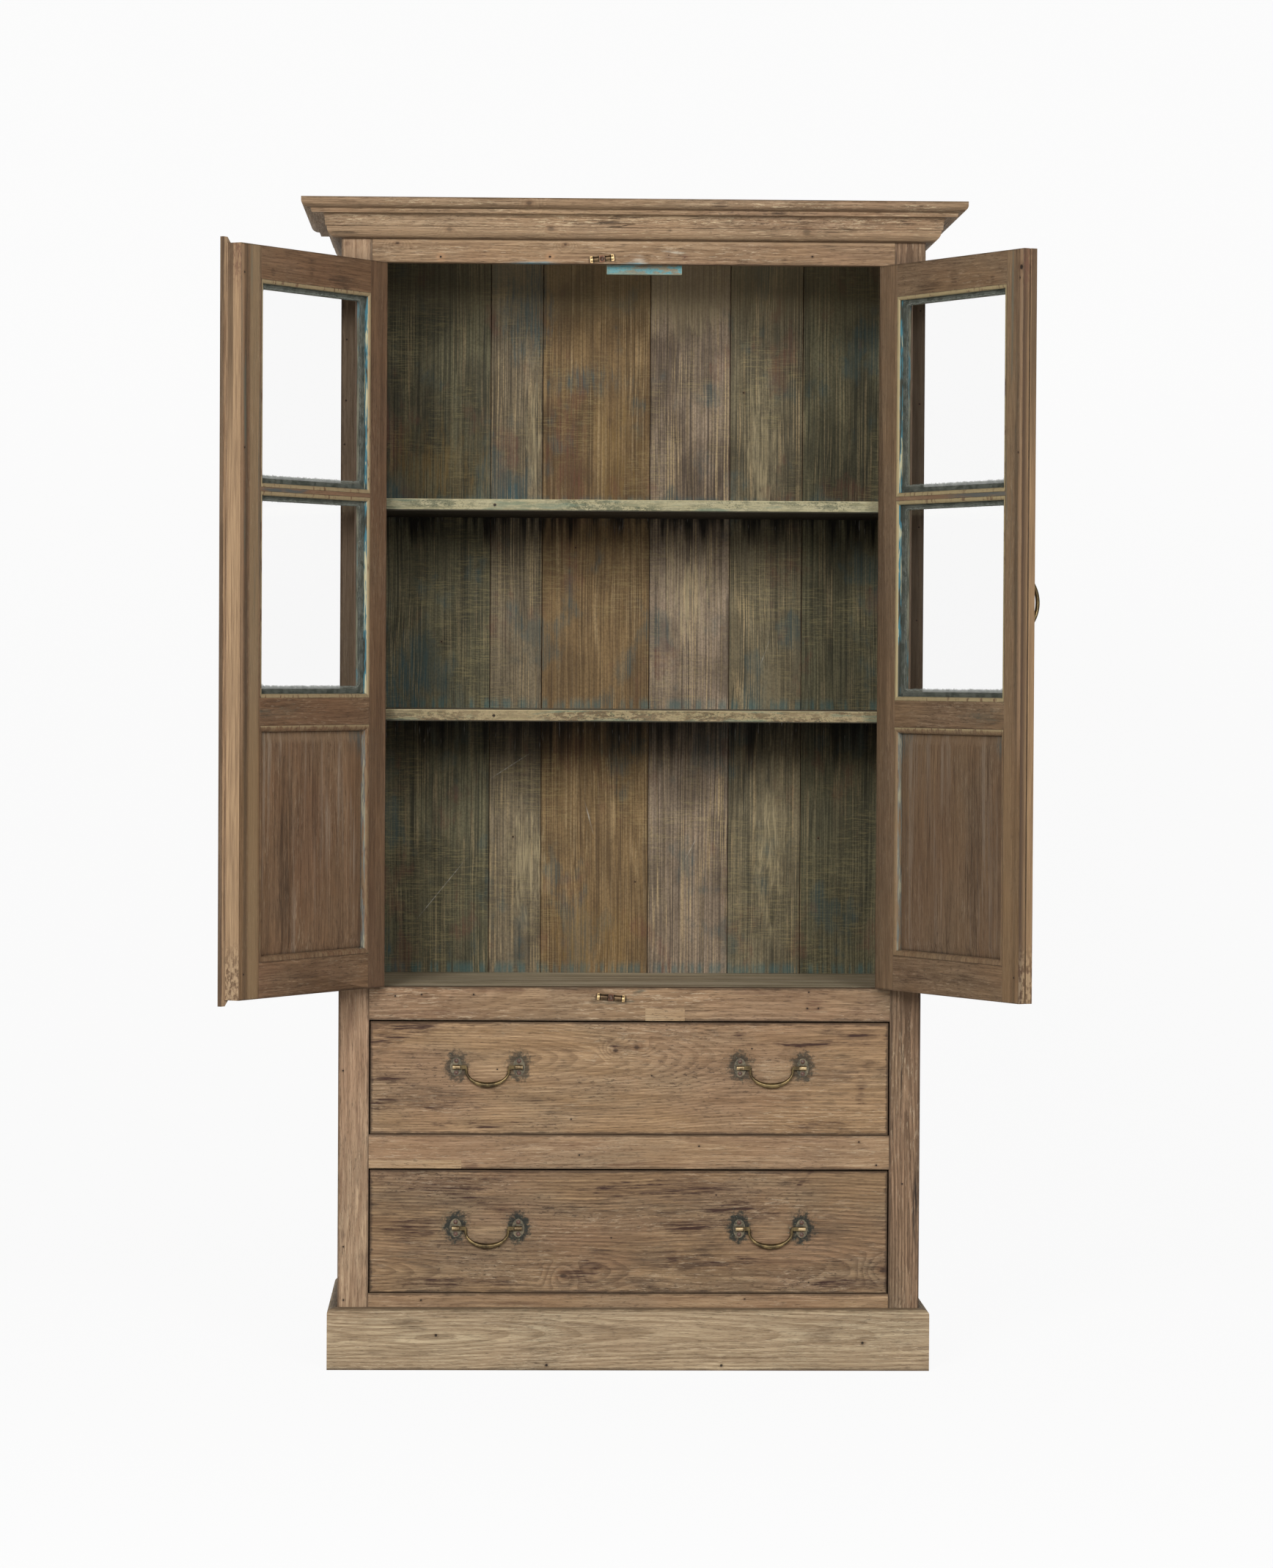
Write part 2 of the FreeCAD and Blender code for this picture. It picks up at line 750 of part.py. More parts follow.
def bow_handle():
    """Bow with a thick middle on two round feet, on the right door's outer face."""
    s = door_width - handle_edge_distance
    half = handle_length / 2
    radius = (half ** 2 + handle_projection ** 2) / (2 * handle_projection)
    centre = leaf_point(1, s, radius - handle_projection, handle_level)
    half_angle = math.degrees(math.asin(half / radius))
    centres, tilts, radii = [], [], []
    for step in range(bail_sections + 1):
        share = step / bail_sections
        angle = math.radians(half_angle * (2 * share - 1))
        centres.append(centre + V(0, -radius * math.cos(angle), radius * math.sin(angle)))
        tilts.append(math.degrees(angle))
        swell = math.sin(math.pi * share) ** 2
        radii.append(handle_end_radius + (handle_middle_radius - handle_end_radius) * swell)
    bow = lofted_wire(centres, tilts, radii, V(-1, 0, 0))
    for way in (-1, 1):
        foot = leaf_point(1, s, 0, handle_level + way * half)
        bow = bow.fuse(rod(foot, foot - V(0, handle_foot_thickness, 0), handle_foot_radius))
    behind = slab((leaf_x(1, door_width), leaf_x(1, 0)), (door_face, door_face + door_thickness),
                  (door_bottom, door_bottom + door_height))
    return bow.cut(behind)


def build_doors():
    """Both doors closed, then swung open about their hinge lines."""
    left = build_leaf(-1, left_hinge_stile_width, left_meeting_stile_width)
    left["astragal"] = [astragal()]
    right = build_leaf(1, right_hinge_stile_width, right_meeting_stile_width)
    right["handle"] = [bow_handle()]
    groove_d = (door_thickness - edge_groove_width) / 2
    groove = leaf_slab(1, (door_width - edge_groove_depth, door_width + overrun),
                       (groove_d, groove_d + edge_groove_width), (-overrun, door_height + overrun))
    right["meeting_stile"] = [solid.cut(groove) for solid in right["meeting_stile"]]
    pins = build_hinges(((-1, left), (1, right)))
    for name, side, leaf, angle in (("left_door", -1, left, -left_open_angle),
                                    ("right_door", 1, right, right_open_angle)):
        for piece, solids in leaf.items():
            for solid in solids:
                solid.rotate(pivot(side, 0), V(0, 0, 1), angle)
            add(name + "_" + piece, *solids)
    return pins


def turn_button(length):
    """Button lying along X about the origin, its back on the plane of the rail."""
    half = length / 2
    half_wide = button_width / 2
    disc = Part.makeCylinder(half, button_rib_height, V(0, 0, 0), V(0, -1, 0))
    bar = slab((-half, half), (-button_thickness, 0), (-half_wide, half_wide))
    hub = button_hub_length / 2
    for way in (-1, 1):
        rib = sorted((way * half, way * (half - button_rib_width)))
        bar = bar.fuse(slab(rib, (-button_rib_height, 0), (-half_wide, half_wide)))
        boss = rod(V(way * hub, -button_thickness / 2, 0), V(way * half, -button_thickness / 2, 0),
                   button_boss_radius)
        bar = bar.fuse(boss)
    bar = bar.common(disc)
    hole = button_screw_radius + button_bore_play
    bar = bar.cut(rod(V(0, overrun, 0), V(0, -button_rib_height - overrun, 0), hole))
    return bar.removeSplitter()


def build_buttons():
    """Turn buttons at their rest tilt, and the screws that they turn on."""
    screws = []
    for upper, name, length, tilt in (
            (True, "upper_turn_button", upper_button_length, upper_button_tilt),
            (False, "lower_turn_button", lower_button_length, lower_button_tilt)):
        centre = button_centre(upper)
        button = turn_button(length)
        button.rotate(V(0, 0, 0), V(0, -1, 0), tilt)
        button.translate(centre - V(0, button_play, 0))
        add(name, button)
        seat = centre - V(0, button_thickness + 2 * button_play, 0)
        reach = button_screw_depth + centre.y - seat.y
        screws.append(screw(seat, button_screw_head_radius, button_screw_head_height,
                            button_screw_radius, reach))
    return screws


def pull_centres(z, height_share):
    """Centres of a drawer's two pulls, on the line of their knuckles."""
    level = z[0] + (z[1] - z[0]) * height_share
    y = front - pull_knuckle_standoff
    return [V(way * pull_centre_distance, y, level) for way in (-1, 1)]


def pull_plates(centre):
    """Two oval plates with knuckles and screws for one pull."""
    solids = []
    for way in (-1, 1):
        middle = centre + V(way * pull_plate_spacing / 2, 0, 0)
        base = V(middle.x, front, middle.z)
        oval = Part.Ellipse(base + V(0, 0, pull_plate_height / 2),
                            base + V(pull_plate_width / 2, 0, 0), base)
        plate = Part.Face(Part.Wire([oval.toShape()])).extrude(V(0, -pull_plate_thickness, 0))
        half = pull_knuckle_length / 2
        knuckle = rod(middle - V(half, 0, 0), middle + V(half, 0, 0), pull_knuckle_radius)
        web = slab((middle.x - half, middle.x + half), (middle.y, front),
                   (middle.z - pull_knuckle_radius / 2, middle.z + pull_knuckle_radius / 2))
        bore = rod(middle - V(pull_plate_width, 0, 0), middle + V(pull_plate_width, 0, 0),
                   pull_pin_radius + pull_pin_play)
        plate = plate.fuse([knuckle, web]).cut(bore).removeSplitter()
        screws = []
        for rise in (-pull_screw_offset, pull_screw_offset):
            seat = V(middle.x, front - pull_plate_thickness, middle.z + rise)
            screws.append(screw(seat, pull_screw_radius, pull_screw_height,
                                pull_screw_radius / 2, pull_plate_thickness))
        solids += [plate.cut(screws), *screws]
    return solids


def bail(centre):
    """Drop handle: pins and elbows at the knuckles, swelling to the middle of its bow."""
    centres, tilts, radii = [], [], []
    for step in range(bail_sections + 1):
        angle = math.pi * step / bail_sections
        centres.append(centre + V(-bail_half_width * math.cos(angle), 0,
                                  -bail_straight_drop - bail_round_drop * math.sin(angle)))
        along = V(bail_half_width * math.sin(angle), 0, -bail_round_drop * math.cos(angle))
        tilts.append(math.degrees(math.atan2(along.x, along.z)))
        swell = math.sin(angle) ** 3
        radii.append(bail_end_radius + (bail_middle_radius - bail_end_radius) * swell)
    bow = lofted_wire(centres, tilts, radii, V(0, 1, 0))
    half_elbow = elbow_height / 2
    pin_out = pull_plate_spacing / 2 + pull_knuckle_length / 2
    for way in (-1, 1):
        x = sorted((centre.x + way * elbow_reach, centre.x + way * (elbow_reach - elbow_length)))
        elbow = slab(x, (centre.y - half_elbow, centre.y + half_elbow),
                     (centre.z - half_elbow, centre.z + half_elbow))
        post = rod(V(centre.x + way * bail_half_width, centre.y, centre.z),
                   V(centre.x + way * bail_half_width, centre.y, centre.z - bail_straight_drop),
                   bail_end_radius)
        pin = rod(V(centre.x + way * (elbow_reach - elbow_length / 2), centre.y, centre.z),
                  V(centre.x + way * pin_out, centre.y, centre.z), pull_pin_radius)
        bow = bow.fuse([elbow, post, pin])
    return bow.removeSplitter()


def build_drawer(name, opening_z, height_share):
    """Drawer with a flush front, grooved sides, back and bottom, and two pulls."""
    z = (opening_z[0] + drawer_bottom_gap, opening_z[1] - drawer_top_gap)
    half = half_opening - drawer_side_gap
    front_rear = front + drawer_front_thickness
    rear = board_face - drawer_rear_gap
    face = slab((-half, half), (front, front_rear), z)
    show = min(face.Faces, key=lambda one: one.CenterOfMass.y)
    face = face.makeFillet(drawer_edge_round, show.Edges)
    bottom_z = (z[0] + drawer_bottom_rise, z[0] + drawer_bottom_rise + drawer_bottom_thickness)
    groove = drawer_groove_depth
    inner = half - drawer_side_thickness
    bottom = slab((-inner - groove, inner + groove), (front_rear - groove, rear), bottom_z)
    side_z = (z[0], z[1] - drawer_side_drop)
    left = slab((-half, -inner), (front_rear, rear), side_z).cut(bottom)
    rear_board = slab((-inner, inner), (rear - drawer_back_thickness, rear),
                      (bottom_z[1], side_z[1]))
    add(name + "_front", face.cut(bottom))
    add(name + "_box", left, mirrored(left), rear_board)
    add(name + "_bottom", bottom)
    plates = []
    for centre, side in zip(pull_centres(z, height_share), ("left", "right")):
        plates += pull_plates(centre)
        add(name + "_" + side + "_bail", bail(centre))
    add(name + "_pull_plates", *plates)


def main():
    build_face_frame()
    build_carcase()
    pins = build_doors()
    add("pivot_pins", *pins, *build_buttons())
    build_drawer("upper_drawer", (upper_opening_bottom, upper_opening_top),
                 upper_pull_height_share)
    build_drawer("lower_drawer", (bottom_rail_top, lower_opening_top), lower_pull_height_share)
    os.makedirs("parts", exist_ok=True)
    for name, shape in nodes.items():
        shape.exportStep(os.path.join("parts", name + ".step"))
    print(len(nodes), "nodes, height", height)


main()
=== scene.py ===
"""Looks of the glazed cupboard: old hardwood, worn paint, aged brass and window glass.

Metres. +Z is up, the front faces -Y, and the origin lies on the floor under the middle
of the face frame's front. Places and sizes of marks are in millimetres. Scales of noise
are per metre.
"""

import json
import math

import bpy
from mathutils import Matrix, Vector

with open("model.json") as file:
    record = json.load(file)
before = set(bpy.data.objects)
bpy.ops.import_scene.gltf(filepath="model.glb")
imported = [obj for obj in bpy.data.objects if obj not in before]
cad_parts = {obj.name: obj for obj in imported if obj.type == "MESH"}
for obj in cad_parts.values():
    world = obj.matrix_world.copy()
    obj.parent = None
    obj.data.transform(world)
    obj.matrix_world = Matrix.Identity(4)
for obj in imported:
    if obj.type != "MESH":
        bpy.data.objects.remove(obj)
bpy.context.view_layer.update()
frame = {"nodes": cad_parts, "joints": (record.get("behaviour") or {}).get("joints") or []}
nodes = frame["nodes"]
MM = 0.001
WHITE = (255, 255, 255)

# Camera, solved from the photograph, whose frame is 1736 by 2138 pixels
FRAME_HEIGHT_PX = 2138
FOCAL_LENGTH_PX = 6773
SENSOR = 36
CAMERA_PLACE = (-0.2448, -8.5065, 1.1984)
CAMERA_YAW = 1.7093
CAMERA_PITCH = 1.2972
CAMERA_ROLL = 0.3209

DOOR_HINGES = {joint["child"]: joint for joint in frame["joints"] if "door" in joint["child"]}
FACE_PLANE = (0, 2)
# Eased arrises of the wood, in millimetres and degrees, and the pieces that stay sharp
ARRIS = 0.8
ARRIS_ANGLE = 40
WELD_REACH = 0.01
SHARP = ("beads", "bearers")


def srgb(red, green, blue):
    """Colour from 0 to 255 in sRGB, as the linear RGBA that shaders take."""
    def linear(value):
        value /= 255
        return value / 12.92 if value <= 0.04045 else ((value + 0.055) / 1.055) ** 2.4
    return (linear(red), linear(green), linear(blue), 1)


class Graph:
    """Short ways to lay out the nodes of one material, or of the world."""

    def __init__(self, name, store=bpy.data.materials, output="OutputMaterial"):
        self.material = store.new(name)
        self.material.use_nodes = True
        self.tree = self.material.node_tree
        self.tree.nodes.clear()
        self.output = self.node(output)

    def node(self, kind, inputs=(), **settings):
        """New node with its inputs set or linked: pairs of name or number and value.
        Colours are written as 0 to 255 in sRGB."""
        made = self.tree.nodes.new("ShaderNode" + kind)
        for key, value in settings.items():
            setattr(made, key, value)
        for key, value in inputs:
            socket = made.inputs[key]
            if isinstance(value, bpy.types.NodeSocket):
                self.tree.links.new(value, socket)
            else:
                socket.default_value = srgb(*value) if socket.type == "RGBA" else value
        return made

    def out(self, kind, *inputs, **settings):
        """First output of a new node."""
        return self.node(kind, inputs, **settings).outputs[0]

    def math(self, operation, first, *others):
        """Arithmetic over values from left to right."""
        for other in others:
            first = self.out("Math", (0, first), (1, other), operation=operation)
        return first

    def add(self, *values):
        return self.math("ADD", *values)

    def less(self, first, second):
        return self.math("SUBTRACT", first, second)

    def times(self, *values):
        return self.math("MULTIPLY", *values)

    def either(self, *values):
        return self.math("MAXIMUM", *values)

    def gap(self, first, second=0):
        return self.out("Math", (0, self.less(first, second)), operation="ABSOLUTE")

    def fade(self, value, start, end):
        """Smooth step: 0 where value is at start and 1 where it is at end."""
        return self.out("MapRange", (0, value), (1, start), (2, end),
                        interpolation_type="SMOOTHSTEP")

    def ramp(self, value, start, end):
        """Smooth step of a length, with start and end in millimetres."""
        return self.fade(value, start * MM, end * MM)

    def between(self, value, low, high, soft):
        """Mask of a length between two levels, in millimetres."""
        return self.times(self.ramp(value, low - soft, low + soft),
                          self.ramp(value, high + soft, high - soft))

    def near(self, value, level, reach):
        """Mask of a length: 1 at a level and 0 from reach on to either side, in millimetres."""
        return self.ramp(self.gap(value, level * MM), reach, 0)

    def blend(self, factor, below, above):
        inputs = ((0, factor), (6, below), (7, above))
        return self.node("Mix", inputs, data_type="RGBA").outputs[2]

    def over(self, colour, laid, *masks):
        """Colour with another laid over it where all the masks show."""
        return self.blend(self.times(*masks), colour, laid)

    def noise(self, vector, scale, detail=2, roughness=0.5):
        return self.out("TexNoise", ("Vector", vector), ("Scale", scale), ("Detail", detail),
                        ("Roughness", roughness))

    def vector(self, operation, first, second, third=(0, 0, 0)):
        return self.out("VectorMath", (0, first), (1, second), (2, third), operation=operation)

    def length(self, vector):
        return self.node("VectorMath", ((0, vector),), operation="LENGTH").outputs["Value"]

    def scaled(self, vector, scale, offset=(0, 0, 0)):
        return self.vector("MULTIPLY_ADD", vector, scale, offset)

    def turned(self, vector, degrees, centre=(0, 0, 0)):
        """Vector turned about an upright axis through a centre."""
        return self.out("VectorRotate", ("Vector", vector), ("Center", centre),
                        ("Axis", (0, 0, 1)), ("Angle", math.radians(degrees)))

    def joined(self, x, y, z):
        return self.out("CombineXYZ", (0, x), (1, y), (2, z))

    def bump(self, height, distance, strength):
        return self.out("Bump", ("Height", height), ("Distance", distance * MM),
                        ("Strength", strength))

    def crevice(self, reach):
        """Mask of corners and grooves, where another surface is nearer than reach."""
        shelter = self.node("AmbientOcclusion", (("Distance", reach * MM),), samples=6)
        return self.fade(shelter.outputs["AO"], 0.85, 0.35)

    def mixed(self, factor, below, above):
        """Mix of two shaders."""
        return self.out("MixShader", (0, factor), (1, below), (2, above))

    def shade(self, colour, roughness, normal, metallic=0, specular=0.5):
        """Principled surface; returns the finished material."""
        return self.close(self.out(
            "BsdfPrincipled", ("Base Color", colour), ("Roughness", roughness),
            ("Normal", normal), ("Metallic", metallic), ("Specular IOR Level", specular)))

    def close(self, shader):
        """Link a shader to the output; returns the finished material."""
        self.tree.links.new(shader, self.output.inputs[0])
        return self.material


def closing_turn(name):
    """Pivot of the door that a node belongs to and the turn, in degrees, that closes it."""
    for door, joint in DOOR_HINGES.items():
        if name.startswith(door):
            return Vector(joint["pos_m"]), joint["range_deg"][0] * joint["axis"][2]
    return Vector(), 0


def straight_points(name):
    """Places of a node's vertices once its door is closed."""
    pivot, turn = closing_turn(name)
    back = Matrix.Rotation(math.radians(turn), 3, "Z")
    return [pivot + back @ (vertex.co - pivot) for vertex in nodes[name].data.vertices]


def straight_box(name):
    points = straight_points(name)
    return [[pick(point[axis] for point in points) for axis in range(3)] for pick in (min, max)]


def closed_place(g, name):
    """Object coordinates of a node, as X, Y and Z, with its door closed."""
    place = g.node("TexCoord").outputs["Object"]
    pivot, turn = closing_turn(name)
    if turn:
        place = g.turned(place, turn, pivot)
    return g.node("SeparateXYZ", ((0, place),)).outputs[:3]


def marks(g, place, blots, soft=0.5, ragged=0, plane=FACE_PLANE):
    """Mask of blots: place on the plane, two half sizes and, where it is turned, its turn."""
    flat = g.joined(place[plane[0]], place[plane[1]], 0)
    masks = []
    for across, up, long, short, *turn in blots:
        offset = g.vector("SUBTRACT", flat, (across * MM, up * MM, 0))
        if turn:
            offset = g.turned(offset, -turn[0])
        reach = g.length(g.vector("MULTIPLY", offset, (1 / (long * MM), 1 / (short * MM), 0)))
        masks.append(g.fade(g.add(reach, ragged), 1 + soft, 1 - soft))
    return g.either(*masks)


def round_spots(places, radius):
    return [(across, up, radius, radius) for across, up in places]


class Wood:
    """One wood: its tones from light to dark and how strongly each feature shows."""

    def __init__(self, light, middle, dark, **changes):
        self.light, self.middle, self.dark = light, middle, dark
        features = dict(stain=(52, 38, 28), pale=(206, 186, 156), grey=(140, 130, 110),
                        blush=(150, 112, 88), rings=0.45, fibre=0.5, flecks=0.55, stains=0.5,
                        specks=0.45, residue=0.35, greying=0.35, blushing=0.35, cracks=0.35,
                        ring_spacing=4.5, pith_across=10, pith_depth=45, rise=0.02, sway=60,
                        lift=50, roughness=0.66, specular=0.3, bump=1)
        features.update(changes)
        self.__dict__.update(features)


class Board:
    """Wood laid on one node: its layers are built in turn, and shaded once all are laid."""
    made = []

    def __init__(self, name, wood, grain, seed, plane=FACE_PLANE, knots=()):
        self.name, self.wood, self.plane, self.knots = name, wood, plane, knots
        self.g = g = Graph("wood_" + name)
        self.place = self.x, self.y, self.z = closed_place(g, name)
        self.low, self.high = straight_box(name)
        middle = [(a + b) / 2 for a, b in zip(self.low, self.high)]
        order = {"x": (0, 2, 1), "y": (1, 2, 0), "z": (2, 0, 1)}[grain]
        self.local = [g.add(self.place[axis], -middle[axis]) for axis in order]
        laid = g.joined(*(self.place[axis] for axis in order))
        self.grain = g.vector("ADD", laid, (seed * 1.37, seed * 0.71, seed * 0.43))
        self.build()
        self.made.append(self)

    def noise(self, along, across, detail=2, roughness=0.5, shift=0):
        """Noise drawn out along the grain."""
        vector = self.g.scaled(self.grain, (along, across, across), (shift, shift, shift))
        return self.g.noise(vector, 1, detail, roughness)

    def patches(self, along, across, low, high, detail=4, roughness=0.7, shift=0):
        """Mask of the patches where that noise is high."""
        return self.g.fade(self.noise(along, across, detail, roughness, shift), low, high)

    def lay(self, along, across, low=0.35, high=0.65, detail=3, roughness=0.6):
        """Mask of streaks that wander along the grain."""
        g = self.g
        vector = g.scaled(self.warped, (along, across, across), (along, along, along))
        return g.fade(g.noise(vector, 1, detail, roughness), low, high)

    def hairlines(self, along, across, width):
        """Thin wavering lines along the grain."""
        g = self.g
        vector = g.scaled(self.warped, (along, across, across), (across, along, along))
        return g.fade(g.gap(g.noise(vector, 1, 2, 0.55), 0.5), width, width * 0.3)

    def spots(self, blots, soft=0.5, ragged=0):
        return marks(self.g, self.place, blots, soft, ragged, self.plane)

    def side_distance(self, axes):
        """Distance to the nearest side of the node's box, over the axes given."""
        g = self.g
        return g.math("MINIMUM", *(g.gap(self.place[axis], side[axis]) for axis in axes
                                   for side in (self.low, self.high)))

    def growth_rings(self):
        """Lines of late wood, cut from rings round a pith that wanders under the face."""
        g, wood = self.g, self.wood
        along, across, deep = self.local
        sway = g.less(self.noise(1.1, 0.8), 0.5)
        lift = g.less(self.noise(1.7, 0.8, shift=9.1), 0.5)
        across = g.add(across, -wood.pith_across * MM, g.times(sway, wood.sway * MM))
        deep = g.add(deep, wood.pith_depth * MM, g.times(along, wood.rise),
                     g.times(lift, wood.lift * MM))
        radius = g.length(g.joined(0, across, deep))
        phase = g.add(g.times(radius, 1 / (wood.ring_spacing * MM)), self.noise(8, 34))
        for near, up, size in self.knots:
            swell = self.spots(((near, up, size * 4.5, size * 3),), 0.95)
            phase = g.add(phase, g.times(swell, 4))
        saw = g.out("Math", (0, phase), operation="FRACT")
        return g.times(g.fade(saw, 0.2, 0.9), g.fade(saw, 1, 0.92))

    def build(self):
        g, wood = self.g, self.wood
        shift = g.times(g.less(self.noise(1.6, 5), 0.5), 0.02)
        self.warped = g.vector("ADD", self.grain, g.joined(0, shift, shift))
        self.rings = self.growth_rings()
        self.broad = self.lay(2.4, 66, 0.3, 0.7)
        self.streak = self.lay(12, 430, 0.38, 0.64, 3, 0.62)
        self.band = self.lay(6, 180, 0.40, 0.62)
        self.brushed = g.either(self.lay(14, 280, 0.42, 0.60, 3, 0.65), 0.3)
        self.fleck = self.lay(50, 1000, 0.58, 0.68, 2)
        self.blotch = self.patches(5, 11, 0.38, 0.66, 4, 0.6)
        cloud = self.patches(3, 9, 0.42, 0.66, 3, 0.5, 4)
        self.colour = g.blend(self.broad, wood.light, wood.middle)
        self.tint(wood.grey, wood.greying, self.blotch)
        self.tint(wood.blush, wood.blushing, cloud)
        self.mix(wood.dark, self.streak, wood.fibre)
        self.mix(wood.dark, self.band, wood.fibre * 0.6)
        self.mix(wood.dark, self.rings, wood.rings)
        patch = self.lay(6, 24, 0.56, 0.70, 5, 0.7)
        self.tint(wood.stain, wood.stains, patch, g.either(self.streak, 0.35))
        rubbed = self.lay(45, 320, 0.55, 0.64, 3, 0.7)
        self.tint(wood.pale, wood.residue, rubbed, self.lay(4, 16, 0.42, 0.62))
        self.tint(wood.stain, wood.flecks, self.fleck)
        speck = self.lay(85, 330, 0.57, 0.63, 3, 0.7)
        self.tint(wood.stain, wood.specks, speck, g.either(self.blotch, 0.25))
        crack = g.times(self.hairlines(3, 150, 0.012), self.lay(5, 20, detail=2, roughness=0.5))
        self.tint(wood.stain, wood.cracks, crack)
        fall = g.add(g.times(self.streak, 0.5), g.times(self.rings, 0.3),
                     g.times(self.fleck, 0.4), g.times(crack, 1.5 * wood.cracks))
        self.height = g.less(1, fall)
        for near, up, size in self.knots:
            self.knot(near, up, size)

    def knot(self, near, up, size):
        """Dark eye of a knot with its paler rim."""
        rough = self.g.times(self.g.less(self.streak, 0.5), 0.5)
        rim = self.spots(((near, up, size * 2.2, size * 1.4),), 0.4, rough)
        eye = self.spots(((near, up, size, size * 0.7),), 0.5, rough)
        self.tint((104, 72, 48), 0.45, rim)
        self.tint((48, 32, 22), 0.85, eye)

    def mix(self, colour, *masks):
        """Lay a colour over the wood where all the masks show."""
        self.colour = self.g.over(self.colour, colour, *masks)

    def tint(self, colour, strength, *masks):
        self.mix(colour, *masks, strength)

    def edges(self, width=5, strength=0.6, colour=(60, 45, 32), axes=FACE_PLANE):
        """Grime that gathers near the sides of the node's box."""
        g = self.g
        reach = g.times(self.noise(30, 110, 3, 0.7), width * 2 * MM)
        mask = g.ramp(g.less(self.side_distance(axes), reach), 0, -width * 0.7)
        self.tint(colour, strength, mask)

    def grime_and_crevice_shade(self, reach=12, strength=0.75, colour=(50, 38, 27)):
        """Darkening in corners and grooves, where the crevice mask finds another surface near:
        grime, and painted shade.
        """
        patchy = self.g.add(0.55, self.g.times(self.blotch, 0.45))
        self.tint(colour, strength, self.g.crevice(reach), patchy)

    def nails(self, places, radius=1.5, halo=3.2, ring=(92, 70, 52)):
        """Nail holes with the stain that spreads from them."""
        g = self.g
        self.tint(ring, 0.75, self.spots(round_spots(places, halo), 0.6),
                  g.either(self.streak, 0.4))
        hole = self.spots(round_spots(places, radius), 0.3)
        self.tint((34, 25, 19), 0.95, hole)
        self.height = g.less(self.height, g.times(hole, 2))

    def smears(self, blots, colour, strength=0.7, loose=1):
        """Long stains broken up by the grain."""
        g = self.g
        rough = g.less(self.lay(16, 70, detail=4, roughness=0.7), 0.35)
        self.tint(colour, strength, self.spots(blots, 0.6, g.times(rough, loose)), self.brushed)

    def seam(self, value, level, half, strength=0.8, colour=(44, 32, 24)):
        """Thin wavering dark line where value is at level, broken here and there: dirt in the back
        boards' joints, and dirt with painted shade in the cornice's creases.
        """
        g = self.g
        sway = g.times(g.less(self.noise(45, 45, 3, 0.6), 0.5), half * 2 * MM)
        line = g.near(g.add(value, sway), level, half)
        self.tint(colour, strength, line, g.either(self.broad, 0.45))

    def finish(self):
        g, wood = self.g, self.wood
        normal = g.bump(self.height, 0.4 * wood.bump, 0.8)
        rough = g.add(wood.roughness, g.times(self.streak, 0.12))
        dress(self.name, g.shade(self.colour, rough, normal, specular=wood.specular))
        if not self.name.endswith(SHARP):
            soften(nodes[self.name])


def dress(name, material):
    """Give a CAD node its material."""
    slots = nodes[name].data.materials
    slots.clear()
    slots.append(material)


def soften(piece):
    """Ease a piece's arrises, as hand tools and wear leave them."""
    weld = piece.modifiers.new("weld", "WELD")
    weld.merge_threshold = WELD_REACH * MM
    bevel = piece.modifiers.new("arris", "BEVEL")
    bevel.width = ARRIS * MM
    bevel.segments = 2
    bevel.limit_method = "ANGLE"
    bevel.angle_limit = math.radians(ARRIS_ANGLE)


CORNICE = Wood(
    (186, 158, 125), (167, 138, 106), (116, 90, 65), cracks=0.8, stains=0.6, residue=0.6,
    specks=0.55, rings=0.3, flecks=0.7, bump=1.8, pith_depth=90, pale=(206, 184, 150))
FRAME = Wood(
    (184, 154, 119), (160, 131, 98), (120, 92, 66), stains=0.45, rings=0.35, residue=0.3,
    cracks=0.3, pith_depth=110, pith_across=30)
UPPER_RAILS = Wood(
    (176, 146, 112), (152, 124, 93), (108, 82, 58), stains=0.6, rings=0.4, residue=0.45,
    cracks=0.4, flecks=0.75, pith_depth=110, pith_across=30)
LEFT_STILE = Wood(
    (200, 171, 138), (178, 149, 119), (126, 98, 74), stains=0.55, residue=0.3, pith_depth=110,
    pith_across=30)
DARK_STILE = Wood(
    (164, 137, 107), (143, 118, 90), (88, 67, 49), stains=0.6, rings=0.75, pith_depth=16,
    pith_across=4, rise=0.015, ring_spacing=5.5)
REPAIR = Wood((206, 179, 141), (190, 160, 122), (144, 115, 82), stains=0.15, residue=0.1)
PLINTH = Wood(
    (198, 177, 144), (176, 154, 124), (128, 106, 80), rings=0.6, greying=0.5, grey=(172, 160, 134),
    residue=0.45, ring_spacing=5.5, lift=70, pith_depth=38, rise=0.03, blushing=0.15)
UPPER_FRONT = Wood(
    (182, 150, 113), (158, 127, 91), (100, 75, 52), stains=0.75, rings=0.4, fibre=0.42, specks=0.7,
    pith_depth=60, pith_across=45, rise=0.05, lift=110)
LOWER_FRONT = Wood(
    (166, 136, 100), (142, 113, 82), (84, 62, 43), stains=0.9, rings=0.5, fibre=0.42, specks=0.75,
    pith_depth=40, pith_across=-70, rise=0.06, lift=110, ring_spacing=5.5)
LEFT_INSIDE = Wood(
    (144, 112, 83), (126, 96, 69), (86, 64, 46), stains=0.45, rings=0.12, residue=0.2, greying=0.3,
    grey=(132, 116, 95), blush=(122, 88, 68), pith_depth=80)
RIGHT_INSIDE = Wood(
    (148, 120, 90), (131, 104, 77), (90, 70, 51), stains=0.45, rings=0.12, residue=0.2,
    grey=(138, 124, 104), blush=(122, 94, 74), pith_depth=80)
SIDE = Wood((160, 134, 105), (140, 115, 88), (98, 76, 56), stains=0.6, pith_depth=60, sway=90)
INSIDE = Wood(
    (122, 108, 84), (100, 88, 67), (62, 54, 41), stains=0.35, rings=0.1, fibre=0.35, residue=0.15,
    flecks=0.5, specular=0.2)
